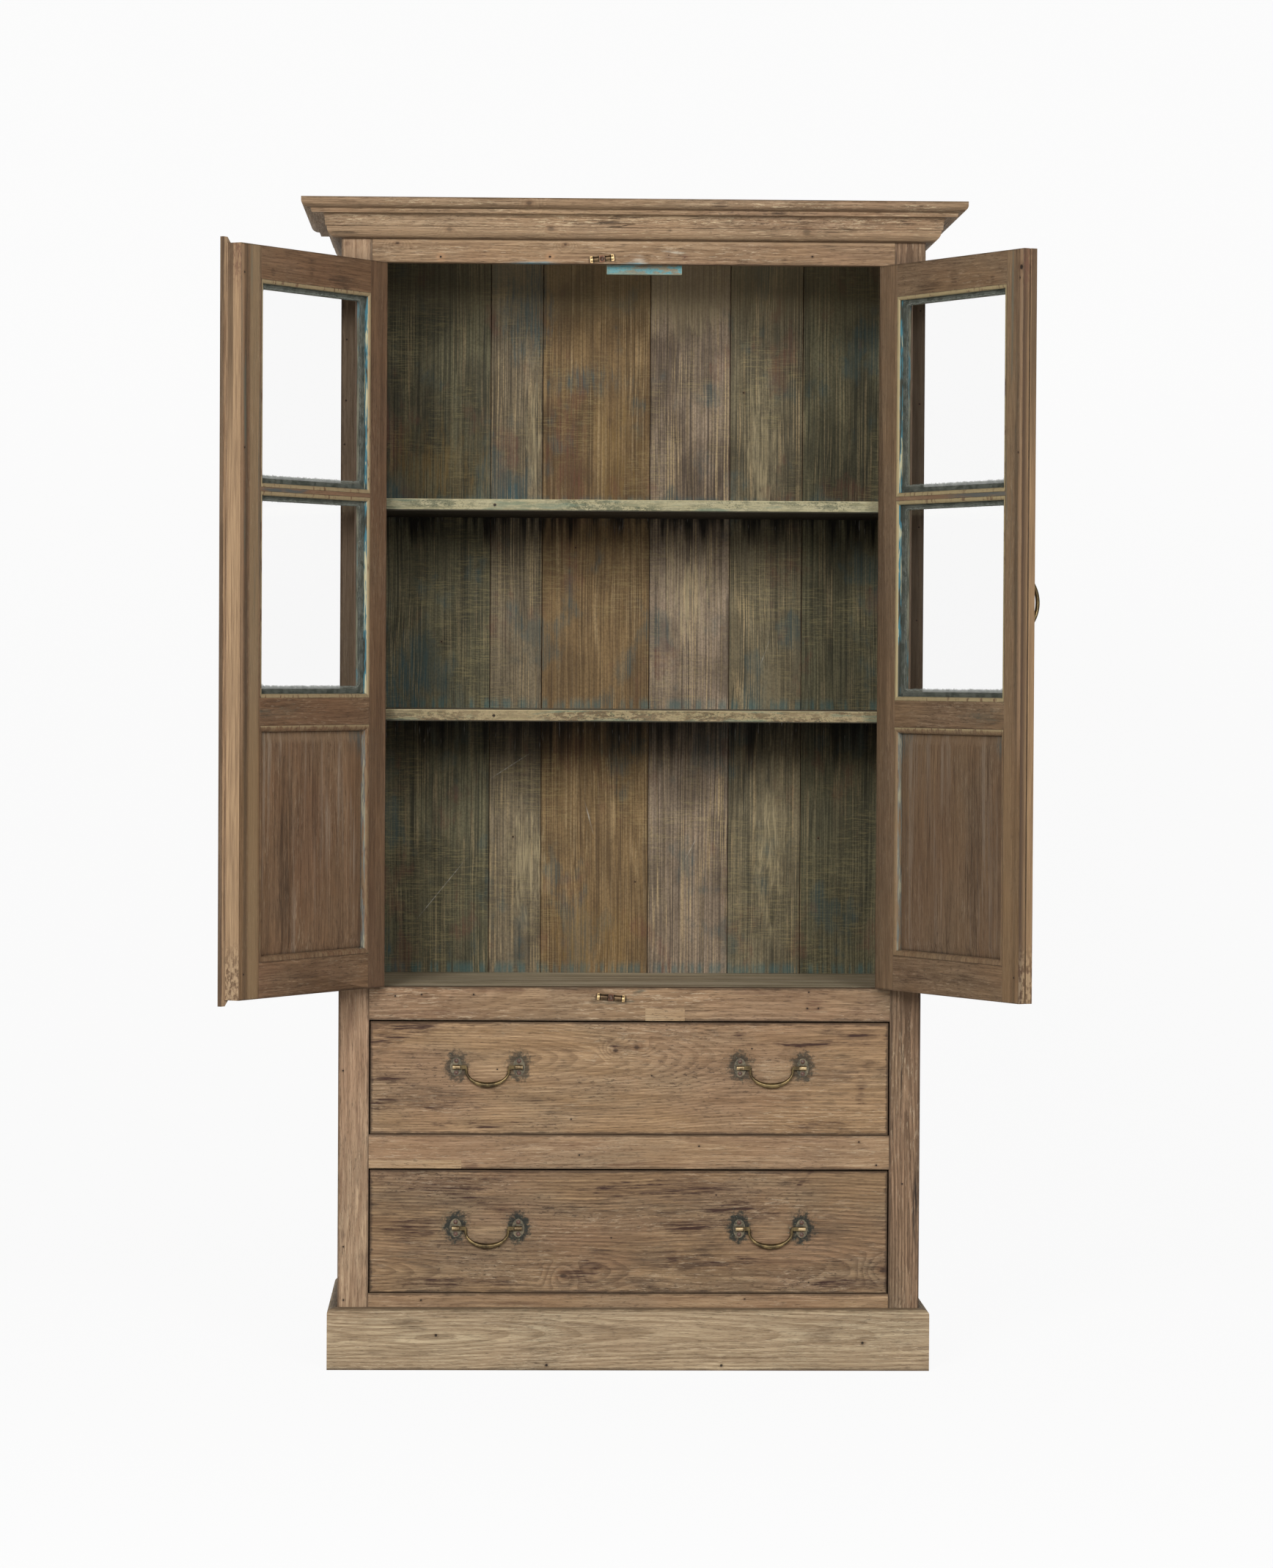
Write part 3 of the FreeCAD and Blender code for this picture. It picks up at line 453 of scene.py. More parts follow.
FLOOR = Wood(
    (226, 210, 178), (200, 183, 150), (142, 126, 98), greying=0.4, rings=0.2, grey=(190, 178, 150),
    stains=0.6, fibre=0.6)
SHELF = Wood(
    (158, 146, 122), (136, 124, 102), (92, 82, 66), greying=0.6, rings=0.2, grey=(152, 148, 132),
    stains=0.4)
BOX = Wood((182, 154, 118), (164, 136, 101), (128, 101, 71), stains=0.25)

CORNICE_KNOTS = ((-315.7, 1949, 4), (-142.9, 1950.5, 4.5), (-180.7, 1991, 4), (293.8, 1949, 6))
CORNICE_STAINS = (
    (145.3, 1991, 16, 4), (-480, 1955, 22, 4), (60, 1951, 6, 4), (243, 1979, 10, 3),
    (-60, 1962, 60, 3), (420, 1964, 50, 3), (-493, 1943, 20, 2.4), (-440, 1946.5, 16, 1.6),
    (330, 1950, 40, 2), (-250, 1989, 30, 2.5), (470, 1990, 36, 3))
CORNICE_CHIPS = (
    (-470, 1966, 50, 7), (120, 1966, 150, 6), (-110, 1964, 60, 5), (400, 1966, 80, 7),
    (250, 1990, 120, 5), (-330, 1991, 90, 5), (480, 1988, 40, 6))
TOP_RAIL_KNOTS = ((-404.4, 1927.8, 3.5), (-117.7, 1927.6, 3))
TOP_RAIL_NAILS = (
    (-330.5, 1904.6), (-143.9, 1906.1), (59.2, 1910.3), (86.8, 1906.8), (305.3, 1909.8))
MIDDLE_RAIL_NAILS = (
    (-402.4, 640.5), (-357.2, 643.2), (-268.1, 643.5), (307.1, 649.4), (323.7, 621.7),
    (304.8, 621.6))
DRAWER_RAIL_NAILS = ((-85.6, 368.2), (395, 392), (425.1, 352), (120, 384))
LEFT_STILE_NAILS = (
    (-490.8, 1658.4), (-490, 1762.2), (-493, 1583.3), (-489.6, 209.7), (-491, 512), (-489, 118))
RIGHT_STILE_NAILS = (
    (488.2, 1288.6), (490.9, 1448.3), (494.5, 1478.4), (490.9, 1818.5), (490.7, 1659.2),
    (470, 320))


DOOR_FOOT = 668
DOOR_HEAD = 1894

# Levels of the cornice's tones, of its dark crease lines (dirt, and painted shade), and of the
# painted light on the top rail's strip just under it
CORNICE_FOOT = (1956, 1950)
CORNICE_FILLET = (1983, 1985)
CORNICE_CREASE_LINES = ((1950.2, 1, 0.65), (1981.9, 0.7, 0.4))
TOP_RAIL_LIT_STRIP = (1926, 1932)
# Frame members: name, wood, grain, seed, nails, and smears as blots, colour and strength
FRAME_PARTS = (
    ("middle_rail", UPPER_RAILS, "x", 12, MIDDLE_RAIL_NAILS, (
        (((16, 647, 14, 8, 20), (-33, 633, 32, 5)), (74, 78, 66), 0.85),
        (((60, 623, 20, 5), (316, 628, 14, 16)), (92, 62, 48), 0.6),
        (((-340, 612, 90, 5), (250, 648, 110, 5), (-200, 650, 70, 4), (410, 625, 30, 12)),
         (98, 70, 52), 0.6))),
    ("drawer_rail", FRAME, "x", 23, DRAWER_RAIL_NAILS, (
        (((-270, 352, 12, 6), (-130, 386, 60, 5)), (84, 58, 44), 0.7),
        (((-360, 392, 60, 6), (40, 352, 120, 5), (240, 394, 140, 5), (330, 370, 50, 8)),
         (104, 76, 56), 0.55))),
    ("bottom_rail", FRAME, "x", 34, ((-356, 118), (200, 121)), (
        (((-200, 112, 130, 4), (220, 124, 160, 4)), (92, 68, 50), 0.6),)),
    ("left_stile", LEFT_STILE, "z", 45, LEFT_STILE_NAILS, (
        (((-492, 230, 6, 14), (-493, 640, 5, 10)), (84, 62, 48), 0.6),
        (((-478, 600, 5, 40), (-466, 420, 4, 90), (-490, 330, 4, 60), (-470, 160, 6, 40),
          (-488, 1926, 8, 3)), (104, 76, 58), 0.6))),
    ("right_stile", DARK_STILE, "z", 51, RIGHT_STILE_NAILS, (
        (((467.3, 560, 1.1, 100), (492, 280, 4, 70)), (34, 26, 20), 0.95, 0.3),)),
)
# Strength of the painted shadow that the open doors cast on each stile, between the doors' foot
# and head
STILE_DOOR_SHADOW = {"left_stile": 0.82, "right_stile": 0.92}
STILE_DOOR_SHADOW_SOFT = 36
THREE_SIDES = (("front", "x"), ("left", "y"), ("right", "y"))


def make_cornice():
    for seed, (side, grain) in enumerate(THREE_SIDES):
        front = side == "front"
        board = Board("cornice_" + side, CORNICE, grain, seed + 1,
                      knots=CORNICE_KNOTS if front else ())
        g, z = board.g, board.z
        board.tint((176, 148, 116), 0.35, g.ramp(z, *CORNICE_FOOT))
        board.tint((124, 100, 76), 0.35, g.ramp(z, *CORNICE_FILLET))
        chips = board.lay(70, 340, 0.54, 0.60, 4, 0.7)
        if front:
            patch = board.spots(CORNICE_CHIPS, 0.8)
            board.smears(CORNICE_STAINS, (48, 36, 27), 0.85)
        else:
            patch = board.lay(4, 20, 0.4, 0.6)
            # Painted shade: the side returns are greyed and darkened in patches
            board.tint((112, 98, 78), 0.4, board.blotch)
        board.tint((208, 188, 154), 0.6, chips, patch)
        board.edges(3, 0.5, axes=(2,))
        board.grime_and_crevice_shade(4, 0.5)
        # Dark lines in the moulding's creases: dirt, and painted shade
        for level, half, strength in CORNICE_CREASE_LINES:
            board.seam(z, level, half, strength)


def make_top_rail():
    board = Board("frame_top_rail", UPPER_RAILS, "x", 7, knots=TOP_RAIL_KNOTS)
    # Painted light on the strip just under the cornice, against the cornice's shadow
    board.tint((190, 160, 126), 0.35, board.g.ramp(board.z, *TOP_RAIL_LIT_STRIP))
    board.edges(3, 0.35)
    board.nails(TOP_RAIL_NAILS[:2], 1.6, 7, (184, 140, 100))
    board.nails(TOP_RAIL_NAILS[:2] + TOP_RAIL_NAILS[4:])
    board.nails(TOP_RAIL_NAILS[2:4], 0.8, 5.5, (92, 62, 48))
    board.smears(((-176, 1895.8, 34, 2.2), (0, 1895.6, 16, 1.6)), (84, 142, 158), 0.9, 0.4)
    board.smears(((8, 1902, 16, 7), (64, 1916, 26, 3, -8)), (188, 182, 166), 0.6)
    board.smears(((-300, 1926, 60, 4), (180, 1925, 90, 4), (380, 1910, 40, 8)),
                 (104, 78, 58), 0.5)


def make_face_frame():
    make_top_rail()
    for name, wood, grain, seed, nails, stains in FRAME_PARTS:
        board = Board("frame_" + name, wood, grain, seed)
        if name in STILE_DOOR_SHADOW:
            # Painted shadow of the open door on the stile, between the door's foot and head
            door_shadow = board.g.between(board.z, DOOR_FOOT, DOOR_HEAD, STILE_DOOR_SHADOW_SOFT)
            board.tint((74, 61, 46), STILE_DOOR_SHADOW[name], door_shadow)
        board.edges(axes=(0,) if grain == "z" else FACE_PLANE)
        board.nails(nails)
        for stain in stains:
            board.smears(*stain)
    Board("rail_repairs", REPAIR, "x", 58)


def make_plinth():
    for seed, (side, grain) in enumerate(THREE_SIDES):
        board = Board("plinth_" + side, PLINTH, grain, 61 + 3 * seed)
        board.edges(5, 0.5, axes=(2,))
        if side == "front":
            board.nails(((-140.3, 9), (159.7, 9), (-330, 60), (402, 48)), 2.2, 4.5)
            board.smears(((330, 60, 26, 14), (-60, 74, 90, 7), (-400, 30, 80, 8),
                          (120, 24, 140, 6), (-240, 80, 110, 5)), (98, 78, 58), 0.6)
        board.grime_and_crevice_shade(10, 0.6)


def make_case():
    """Sides with a darker inside, the top, the bearers and the stop that the doors meet."""
    for seed, name in enumerate(("left_side", "right_side")):
        board = Board(name, SIDE, "z", 71 + 5 * seed, plane=(1, 2))
        board.edges(6, axes=(1, 2))
        skin = (board.high if name == "left_side" else board.low)[0]
        within = board.g.ramp(board.g.gap(board.x, skin), 2, 1)
        board.tint((78, 75, 58), 0.75, within)
        board.tint((46, 44, 35), 0.6, within, board.brushed, board.band)
        board.tint((104, 94, 70), 0.35, within, board.blotch)
        # Deep grime and painted shade in the case's inside corners
        board.grime_and_crevice_shade(40, 0.8, (26, 24, 19))
    board = Board("top_board", SIDE, "x", 83, plane=(0, 1))
    board.tint((152, 138, 114), 0.5, board.blotch)
    board = Board("bearers", BOX, "y", 85)
    board.grime_and_crevice_shade(20, 0.6)
    make_stop()


def make_stop():
    """Block under the top rail, painted turquoise and worn to the wood."""
    board = Board("door_stop", SIDE, "x", 87)
    board.tint((104, 154, 158), 1)
    board.tint((80, 116, 118), 0.35, board.streak)
    worn = board.patches(40, 110, 0.46, 0.56)
    board.tint((136, 122, 106), 0.95, worn, board.g.ramp(board.x, -50, 80))
    board.tint((142, 132, 98), 0.45, worn)
    board.smears(((14, 1891, 22, 5), (4, 1885, 12, 4)), (128, 98, 66), 0.9)
    board.tint((58, 84, 92), 0.35, board.patches(330, 330, 0.50, 0.60, 4, 0.75))
    board.edges(1, 0.5, (176, 178, 150))


# Back boards, left to right: light, middle and dark tone, and how much pale streak each has
BACK_TONES = (
    ((112, 106, 80), (82, 77, 58), (43, 42, 33), 0.45),
    ((132, 118, 94), (103, 91, 72), (57, 51, 41), 0.75),
    ((142, 116, 79), (114, 91, 61), (71, 55, 38), 0.6),
    ((160, 141, 119), (112, 96, 80), (63, 54, 45), 1),
    ((128, 117, 91), (100, 91, 71), (56, 52, 41), 0.75),
    ((112, 106, 80), (84, 80, 60), (45, 44, 34), 0.45),
)
BACK_EDGE_SHARES = (0.246, 0.343, 0.544, 0.694, 0.830)
BACK_FACE = 423
# Levels between which the back is painted lighter at its head, against the top rail's shade, and
# the doors' meeting edges darken
HEAD_SHADE = (1790, 1870)
# Underside of each shelf, and how far below it the shade reaches
SHELF_UNDERSIDES = ((1473, 10), (1111, 64))
SHELF_TOPS = (1493, 1131.4, 657)
BACK_SMEARS = (
    (((-440, 690, 30, 34), (-430, 1515, 46, 34), (-180, 1840, 44, 70),
      (-395, 1180, 40, 60), (-85, 1720, 60, 24), (-205, 1520, 26, 30)), (48, 80, 86), 0.6),
    # Pale streaks; the blot at 110, 1845 is painted light against the top rail's shade
    (((245, 1600, 24, 90), (262, 900, 26, 120), (-175, 860, 30, 90), (110, 1350, 40, 70),
      (-165, 1620, 12, 100), (110, 1845, 60, 36)), (176, 160, 124), 0.6),
    (((-340, 1560, 90, 60), (-60, 720, 70, 60), (-20, 1580, 40, 90)), (128, 102, 58), 0.5),
    (((-105, 1590, 32, 90),), (108, 66, 54), 0.5),
    (((-328, 806, 56, 0.7, 51), (-205, 1028, 36, 0.8, 33), (-64, 937, 24, 1.1, -75),
      (120, 880, 30, 0.6, 62), (250, 1230, 26, 0.6, 70)), (176, 172, 160), 0.75, 0.3),
)
BACK_NAILS = ((-330, 1250), (-90, 1420), (20, 820), (210, 1700), (350, 900), (-200, 900))


def lay_back_tones(board, edges):
    """Tones of the six boards, meeting at the edges given, painted lighter below the upper shelf
    and at the head against the shade there;
    returns the dark one and the strength of the pale streaks."""
    g = board.g
    light, middle, dark = BACK_TONES[0][:3]
    streaky = BACK_TONES[0][3]
    for edge, before, after in zip(edges, BACK_TONES, BACK_TONES[1:]):
        past = g.math("GREATER_THAN", board.x, edge)
        light, middle, dark = (g.blend(past, tone, new)
                               for tone, new in zip((light, middle, dark), after))
        streaky = g.add(streaky, g.times(past, after[3] - before[3]))
    board.colour = g.blend(board.lay(7, 15, 0.38, 0.62, 3, 0.55), light, middle)
    z = board.z
    # Painted light: lighter below the upper shelf and at the head, against the shade there
    board.mix(light, g.either(g.times(g.ramp(z, 1490, 1460), 0.65), g.ramp(z, *HEAD_SHADE)))
    return dark, streaky


def make_back():
    """Six boards of different colours, with old paint, saw marks, and painted shadow under the
    shelves, ragged at its foot and crossed by pale drips.
    """
    board = Board("back_boards", INSIDE, "z", 91)
    g = board.g
    x, y, z = board.place
    left, right = board.low[0], board.high[0]
    edges = [left + share * (right - left) for share in BACK_EDGE_SHARES]
    dark, streaky = lay_back_tones(board, edges)
    cloud = board.lay(8, 13, 0.46, 0.66)
    board.mix(dark, cloud, 0.4)
    fine = board.lay(2.5, 460, 0.42, 0.58, 2)
    board.mix(dark, fine, 0.5)
    board.mix(dark, board.lay(1.6, 300, 0.57, 0.62, 1, 0.5), 0.55)
    lines = board.lay(1.6, 430, 0.54, 0.60, 1, 0.5)
    shine = g.either(board.lay(5, 20, 0.44, 0.60), 0.3)
    board.tint((200, 174, 130), 0.6, lines, shine, streaky)
    board.mix(dark, board.patches(240, 240, 0.46, 0.58, 4, 0.75), 0.3)
    saw = board.patches(480, 30, 0.50, 0.58, 4, 0.75)
    sawn = board.lay(6, 8, 0.46, 0.60)
    board.tint((150, 136, 92), 0.26, saw, sawn)
    board.mix(dark, g.less(1, saw), sawn, 0.2)
    broken = g.either(fine, 0.5)
    board.tint((54, 78, 80), 0.5, board.lay(6, 9, 0.54, 0.64, 4, 0.65), broken)
    board.tint((108, 70, 56), 0.45, board.lay(6.5, 10, 0.56, 0.66, 4, 0.65), broken)
    shadow_streaks = g.times(board.lay(1.2, 70, 0.3, 0.75), 70 * MM)
    ragged = g.times(board.noise(7, 7, 4, 0.6), 140 * MM)
    # Darker towards the top: a blue-black stain, and painted shade under the top rail
    board.tint((26, 30, 30), 0.2, g.ramp(g.add(z, ragged), 1870, 2000), g.either(cloud, 0.3))
    # Painted light at the head, on the pale streaks, against the top rail's shade
    board.tint((184, 164, 126), 0.35, g.ramp(z, 1810, 1880), streaky)
    board.tint((24, 34, 36), 0.3, g.ramp(x, -220, -340), g.ramp(z, 1760, 1900))
    # Painted shadow under each shelf, its foot ragged in streaks, with pale drips in it
    for level, reach in SHELF_UNDERSIDES:
        shelf_shadow = g.times(g.ramp(g.add(z, shadow_streaks), level - reach, level + 45),
                        g.math("LESS_THAN", z, (level + 4) * MM))
        board.tint((17, 13, 10), 0.93, shelf_shadow)
        board.tint((150, 146, 140), 0.75, shelf_shadow, board.lay(26, 420, 0.64, 0.74, 2))
    for level in SHELF_TOPS:
        foot = g.between(z, level - 4, level + 16, 9)
        board.tint((62, 98, 98), 0.5, foot, board.lay(9, 90, 0.4, 0.6))
    for smear in BACK_SMEARS:
        board.smears(*smear)
    board.nails(BACK_NAILS, 1.4)
    rough = g.blend(board.streak, (170, 146, 114), (120, 98, 74))
    rough = g.over(rough, (138, 128, 110), board.blotch, 0.5)
    board.mix(rough, g.ramp(y, BACK_FACE - 2, BACK_FACE))
    for edge in edges:
        board.seam(x, edge / MM, 1.7, 0.9, (46, 27, 20))


def make_shelves():
    """Shelves and floor: grey-brown tops and front edges with pale paint worn through, a painted
    highlight along the front edges' arrises and painted shade on the shelves' undersides.
    """
    looks = (("upper_shelf", (166, 158, 126), (84, 88, 68), 0.75),
             ("lower_shelf", (152, 134, 101), (92, 74, 52), 0.85))
    for seed, (name, paint, wood, wear) in enumerate(looks):
        board = Board(name, SHELF, "x", 101 + seed * 4)
        g = board.g
        face, bottom, top = board.low[1] / MM, board.low[2] / MM, board.high[2] / MM
        front = g.ramp(board.y, face + 4, face + 1.5)
        board.tint(paint, 0.95, front)
        board.tint((140, 132, 96), 0.5, front, board.streak)
        patch = board.lay(5, 20, 0.4, 0.6)
        holes = g.times(board.patches(60, 150, 0.45, 0.56), g.add(0.35, g.times(patch, 0.65)))
        board.tint(wood, wear, front, holes)
        mottle = board.patches(340, 340, 0.54, 0.60, 4, 0.75)
        board.tint((74, 78, 60), 0.7, front, mottle, g.add(0.3, patch))
        board.tint((98, 116, 98), 0.55, front, board.lay(9, 60, 0.52, 0.64))
        ends = g.ramp(board.x, -300, -460)
        board.tint((58, 62, 48), 0.8, front, ends, board.brushed)
        board.nails(((-236, (bottom + top) / 2),), 2.4, 3)
        # Painted highlight along the front edge's upper and lower arrises
        board.tint((196, 182, 142), 0.6, front, g.ramp(board.side_distance((2,)), 1.4, 0.5))
        # Painted shade on the shelf's underside
        board.tint((20, 16, 12), 0.9, g.ramp(board.z, bottom + 2.5, bottom + 1.5))
        # Grime and painted shade in the shelf's corners
        board.grime_and_crevice_shade(30, 0.6, (30, 25, 19))
    board = Board("cupboard_floor", FLOOR, "x", 113, plane=(0, 1))
    board.tint((104, 92, 72), 0.6, board.lay(1.4, 90, 0.5, 0.6))
    board.tint((236, 222, 192), 0.5, board.lay(1.8, 60, 0.52, 0.6))
    board.grime_and_crevice_shade(24, 0.4, (44, 44, 36))


# Each drawer: wood, level of its pulls, strength of the crust round them, knots, nail holes,
# broad smoky stains and sharper ones
DRAWERS = {
    "upper_drawer": (
        UPPER_FRONT, 519.5, 0.8, ((12, 553, 5), (-24, 548, 4)),
        ((-227, 515), (-187, 512), (38, 505), (210, 552), (-100, 430)),
        ((-360, 470, 90, 20), (330, 500, 60, 40), (-60, 440, 90, 14)),
        ((-373, 585, 80, 8), (-412, 568, 36, 12), (-425, 458, 22, 8), (-330, 452, 60, 7),
         (392, 575, 46, 12, -8), (398, 478, 9, 30), (186, 576, 14, 7), (340, 420, 70, 6),
         (-30, 560, 30, 6, -20), (-395, 500, 34, 10), (-250, 420, 120, 5), (300, 560, 70, 6))),
    "lower_drawer": (
        LOWER_FRONT, 242.7, 1, ((-112, 161, 6), (439, 171, 7)),
        ((310, 150), (-30, 226), (150, 300)),
        ((-340, 290, 110, 30), (90, 290, 150, 26), (-300, 200, 110, 30), (330, 250, 90, 40),
         (60, 190, 120, 20)),
        ((-330, 318, 96, 12), (40, 312, 110, 14), (300, 326, 26, 3, 48), (140, 186, 76, 10),
         (76, 190, 20, 16), (-250, 285, 60, 9, -18), (-380, 236, 40, 24), (-60, 176, 50, 16, 30),
         (360, 150, 80, 8), (200, 275, 60, 22), (-300, 150, 90, 8), (120, 250, 70, 16))),
}
PULL_CENTRE = 243.5
PLATE_OUT = 53.75
PLATE_SCREW = 10.2


def plate_places(level):
    return [(side * PULL_CENTRE + way * PLATE_OUT, level) for side in (-1, 1) for way in (-1, 1)]


def make_drawers():
    for seed, (drawer, look) in enumerate(DRAWERS.items()):
        wood, level, halo, knots, holes, smoke, stains = look
        board = Board(drawer + "_front", wood, "x", 120 + 7 * seed, knots=knots)
        g = board.g
        board.edges(6, 0.7, (52, 38, 28))
        board.smears(smoke, (70, 56, 44), 0.45, 1.2)
        board.smears(stains, (58, 36, 26), 1, 1.2)
        rough = g.times(g.less(board.noise(110, 110, 4, 0.75), 0.52), 2.2)
        crust, ring = (board.spots([(x, z + rise, half, tall) for x, z in plate_places(level)],
                                   soft, rough)
                       for rise, half, tall, soft in ((1, 18, 24, 0.3), (2, 26, 29, 0.4)))
        board.tint((29, 34, 30), 0.95 * halo, crust)
        ring = g.times(ring, board.patches(260, 260, 0.50, 0.62, 3))
        board.tint((52, 50, 40), 0.9 * halo, ring, board.brushed)
        board.tint((132, 138, 114), 0.8, ring, board.patches(320, 320, 0.57, 0.68, 3))
        wear = [(side * PULL_CENTRE, level - 4, 44, 18) for side in (-1, 1)]
        board.smears(wear, (190, 160, 124), 0.35)
        board.nails(holes, 1.3, 2.6)
        for part, grain in (("box", "y"), ("bottom", "x")):
            inner = Board(drawer + "_" + part, BOX, grain, 131 + seed + len(part))
            inner.edges(5, 0.5)


def pane_boxes(name):
    """Lowest and highest X and Z of each pane, once its door is closed."""
    heights = sorted({round(point.z, 4) for point in straight_points(name)})
    low, high = straight_box(name)
    return [(low[0], high[0], bottom, top) for bottom, top in zip(heights[::2], heights[1::2])]


def pane_depth(g, door, place, widths=(0, 0, 0, 0), rounding=0):
    """Distance inwards from a border round each pane; widths are for its hinge side, its
    free side, its bottom and its top."""
    x, _, z = place
    if door == "right_door":
        widths = (widths[1], widths[0]) + widths[2:]
    depths = []
    for left, right, bottom, top in pane_boxes(door + "_panes"):
        sides = (g.less(x, left), g.less(right, x), g.less(z, bottom), g.less(top, z))
        depth, *others = (g.add(gap, -width * MM) for gap, width in zip(sides, widths))
        for clear in others:
            depth = g.out("Math", (0, depth), (1, clear), (2, rounding * MM),
                          operation="SMOOTH_MIN")
        depths.append(depth)
    return g.either(*depths)


# Each door: side, wood of its inside, and tones of its meeting edge from front to back
DOORS = {"left_door": (-1, LEFT_INSIDE, (172, 143, 110), (162, 133, 101)),
         "right_door": (1, RIGHT_INSIDE, (152, 123, 90), (76, 59, 44))}
DOOR_PARTS = (
    "hinge_stile", "meeting_stile", "top_rail", "glazing_bar", "lock_rail", "bottom_rail", "panel")
DOOR_SKIN = 2.5
PANEL_TOP = 1086
GLAZING_FOOT = (1100, 1106)
HINGE_BEADS = (366, 370)
# Smears of a door's members, measured from the cabinet's middle towards the door's hinges
DOOR_SMEARS = {
    "top_rail": (((95, 1850, 5, 7), (210, 1860, 10, 22), (300, 1850, 40, 16)),
                 (66, 50, 38), 0.7),
    "bottom_rail": (((200, 690, 70, 8), (310, 684, 40, 5)), (58, 42, 32), 0.6),
    "lock_rail": (((120, 1128, 60, 12), (90, 1120, 30, 8)), (66, 78, 70), 0.5),
    "panel": (((268, 745, 1, 30), (150, 880, 26, 160)), (52, 38, 28), 0.7, 0.6),
}


def mirrored(side, places):
    """Places or blots given for the right door, moved to the side of the door in hand."""
    return [(side * across, *rest) for across, *rest in places]


def door_faces(board, edge):
    """Outside and meeting edge of a door's member, warmer and paler than its inside."""
    g = board.g
    x, y, z = board.place
    panel = board.name.endswith("panel")
    skin = (board.low[1] + board.high[1]) / 2 / MM if panel else DOOR_SKIN
    warm = g.blend(board.streak, (178, 148, 116), (140, 110, 82))
    warm = g.over(warm, (118, 90, 66), board.band, 0.5)
    board.mix(warm, g.ramp(y, skin + 0.5, skin - 0.5), 0.9)
    mask = g.ramp(g.gap(x), 2.2, 1.4)
    tone = g.blend(g.ramp(y, 13, 26), *edge)
    worn = g.add(g.times(board.streak, 0.3), g.times(board.band, 0.25))
    board.mix(g.blend(worn, tone, (96, 74, 56)), mask)
    mottle = board.patches(70, 160, 0.44, 0.56)
    foot = g.ramp(z, 770, 700)
    board.tint((106, 74, 58), 0.75, mask, g.ramp(z, *HEAD_SHADE), g.either(mottle, 0.35))
    board.tint((88, 66, 50), 0.7, mask, foot, mottle)
    board.tint((200, 176, 142), 0.3, mask, foot, g.less(1, mottle))
    board.tint((84, 67, 50), 0.75, mask, g.ramp(y, 13, 11), g.ramp(z, 1450, 1750))


def make_doors():
    for seed, (door, (side, wood, *edge)) in enumerate(DOORS.items()):
        for number, part in enumerate(DOOR_PARTS):
            grain = "x" if part.endswith("rail") or part == "glazing_bar" else "z"
            board = Board(door + "_" + part, wood, grain, 150 + 20 * seed + number * 2)
            dress_door_part(board, door, part, side)
            door_faces(board, edge)
        make_beads(door, wood, 190 + seed)
    board = Board("left_door_astragal", FRAME, "z", 199)
    board.tint((190, 160, 128), 0.5)
    board.tint((104, 80, 60), 0.65, board.band)
    board.edges(2.5, 0.7, axes=(0,))
    board.grime_and_crevice_shade(5, 0.85, (58, 48, 36))


def meeting_stile_marks(board, side):
    """Lighter olive band, dark streak and pale arris down a meeting stile's inside."""
    g = board.g
    z = board.z
    out = g.gap(board.x)
    light, strength = ((158, 136, 104), 0.5) if side < 0 else ((138, 116, 88), 0.3)
    board.tint(light, strength, g.between(out, 28, 56, 4))
    board.tint((136, 106, 70), 0.3, g.ramp(z, 1200, 1000))
    board.tint((66, 58, 46), 0.6, g.near(out, 19, 10), board.lay(2, 60, 0.3, 0.6))
    board.tint((84, 98, 90), 0.5, board.lay(2.5, 90, 0.56, 0.66), g.ramp(z, 1200, 1500))
    board.tint((176, 144, 112), 0.5, g.ramp(out, 15, 7), g.ramp(board.y, 20, 24),
               g.ramp(z, 1020, 1120))
    board.nails(mirrored(side, ((12, 1845), (14, 1560), (16, 700))), 1.6, 4)
    if side > 0:
        board.nails(((8, 1862),), 4, 9, (80, 54, 40))


def putty(board, door):
    """Grey-green rebate behind the panes, with blue left in it and a pale inner line."""
    g = board.g
    depth = pane_depth(g, door, board.place)
    lip = g.times(g.ramp(depth, -0.9, -0.3), g.ramp(board.y, 8, 9))
    streaks = board.lay(14, 170, 0.42, 0.58, 3, 0.65)
    board.mix(g.blend(streaks, (122, 120, 102), (80, 82, 70)), lip)
    board.tint((74, 118, 130), 0.7, lip, board.lay(9, 120, 0.55, 0.62, 3, 0.7),
               g.ramp(g.gap(board.x), 300, 360))
    board.tint((176, 178, 160), 0.4, lip, g.near(depth, 12.6, 1.4))


def panel_marks(board, side):
    """Pale and deep streaks of a door's panel, and blue left in its upper corners."""
    board.tint((156, 140, 122), 0.45, board.lay(1.8, 150, 0.48, 0.60),
               board.lay(2.5, 14, 0.46, 0.60))
    board.tint((60, 42, 30), 0.55, board.lay(2, 100, 0.52, 0.62), board.lay(3, 16, 0.44, 0.60))
    board.tint((146, 122, 96), 0.35, board.g.near(board.z, PANEL_TOP, 14))
    if side > 0:
        board.tint((72, 54, 40), 0.28)
    corners = mirrored(side, ((372, 1090, 26, 30), (66, 1095, 18, 30)))
    board.tint((62, 86, 88), 0.6, board.spots(corners, 0.7), board.brushed)


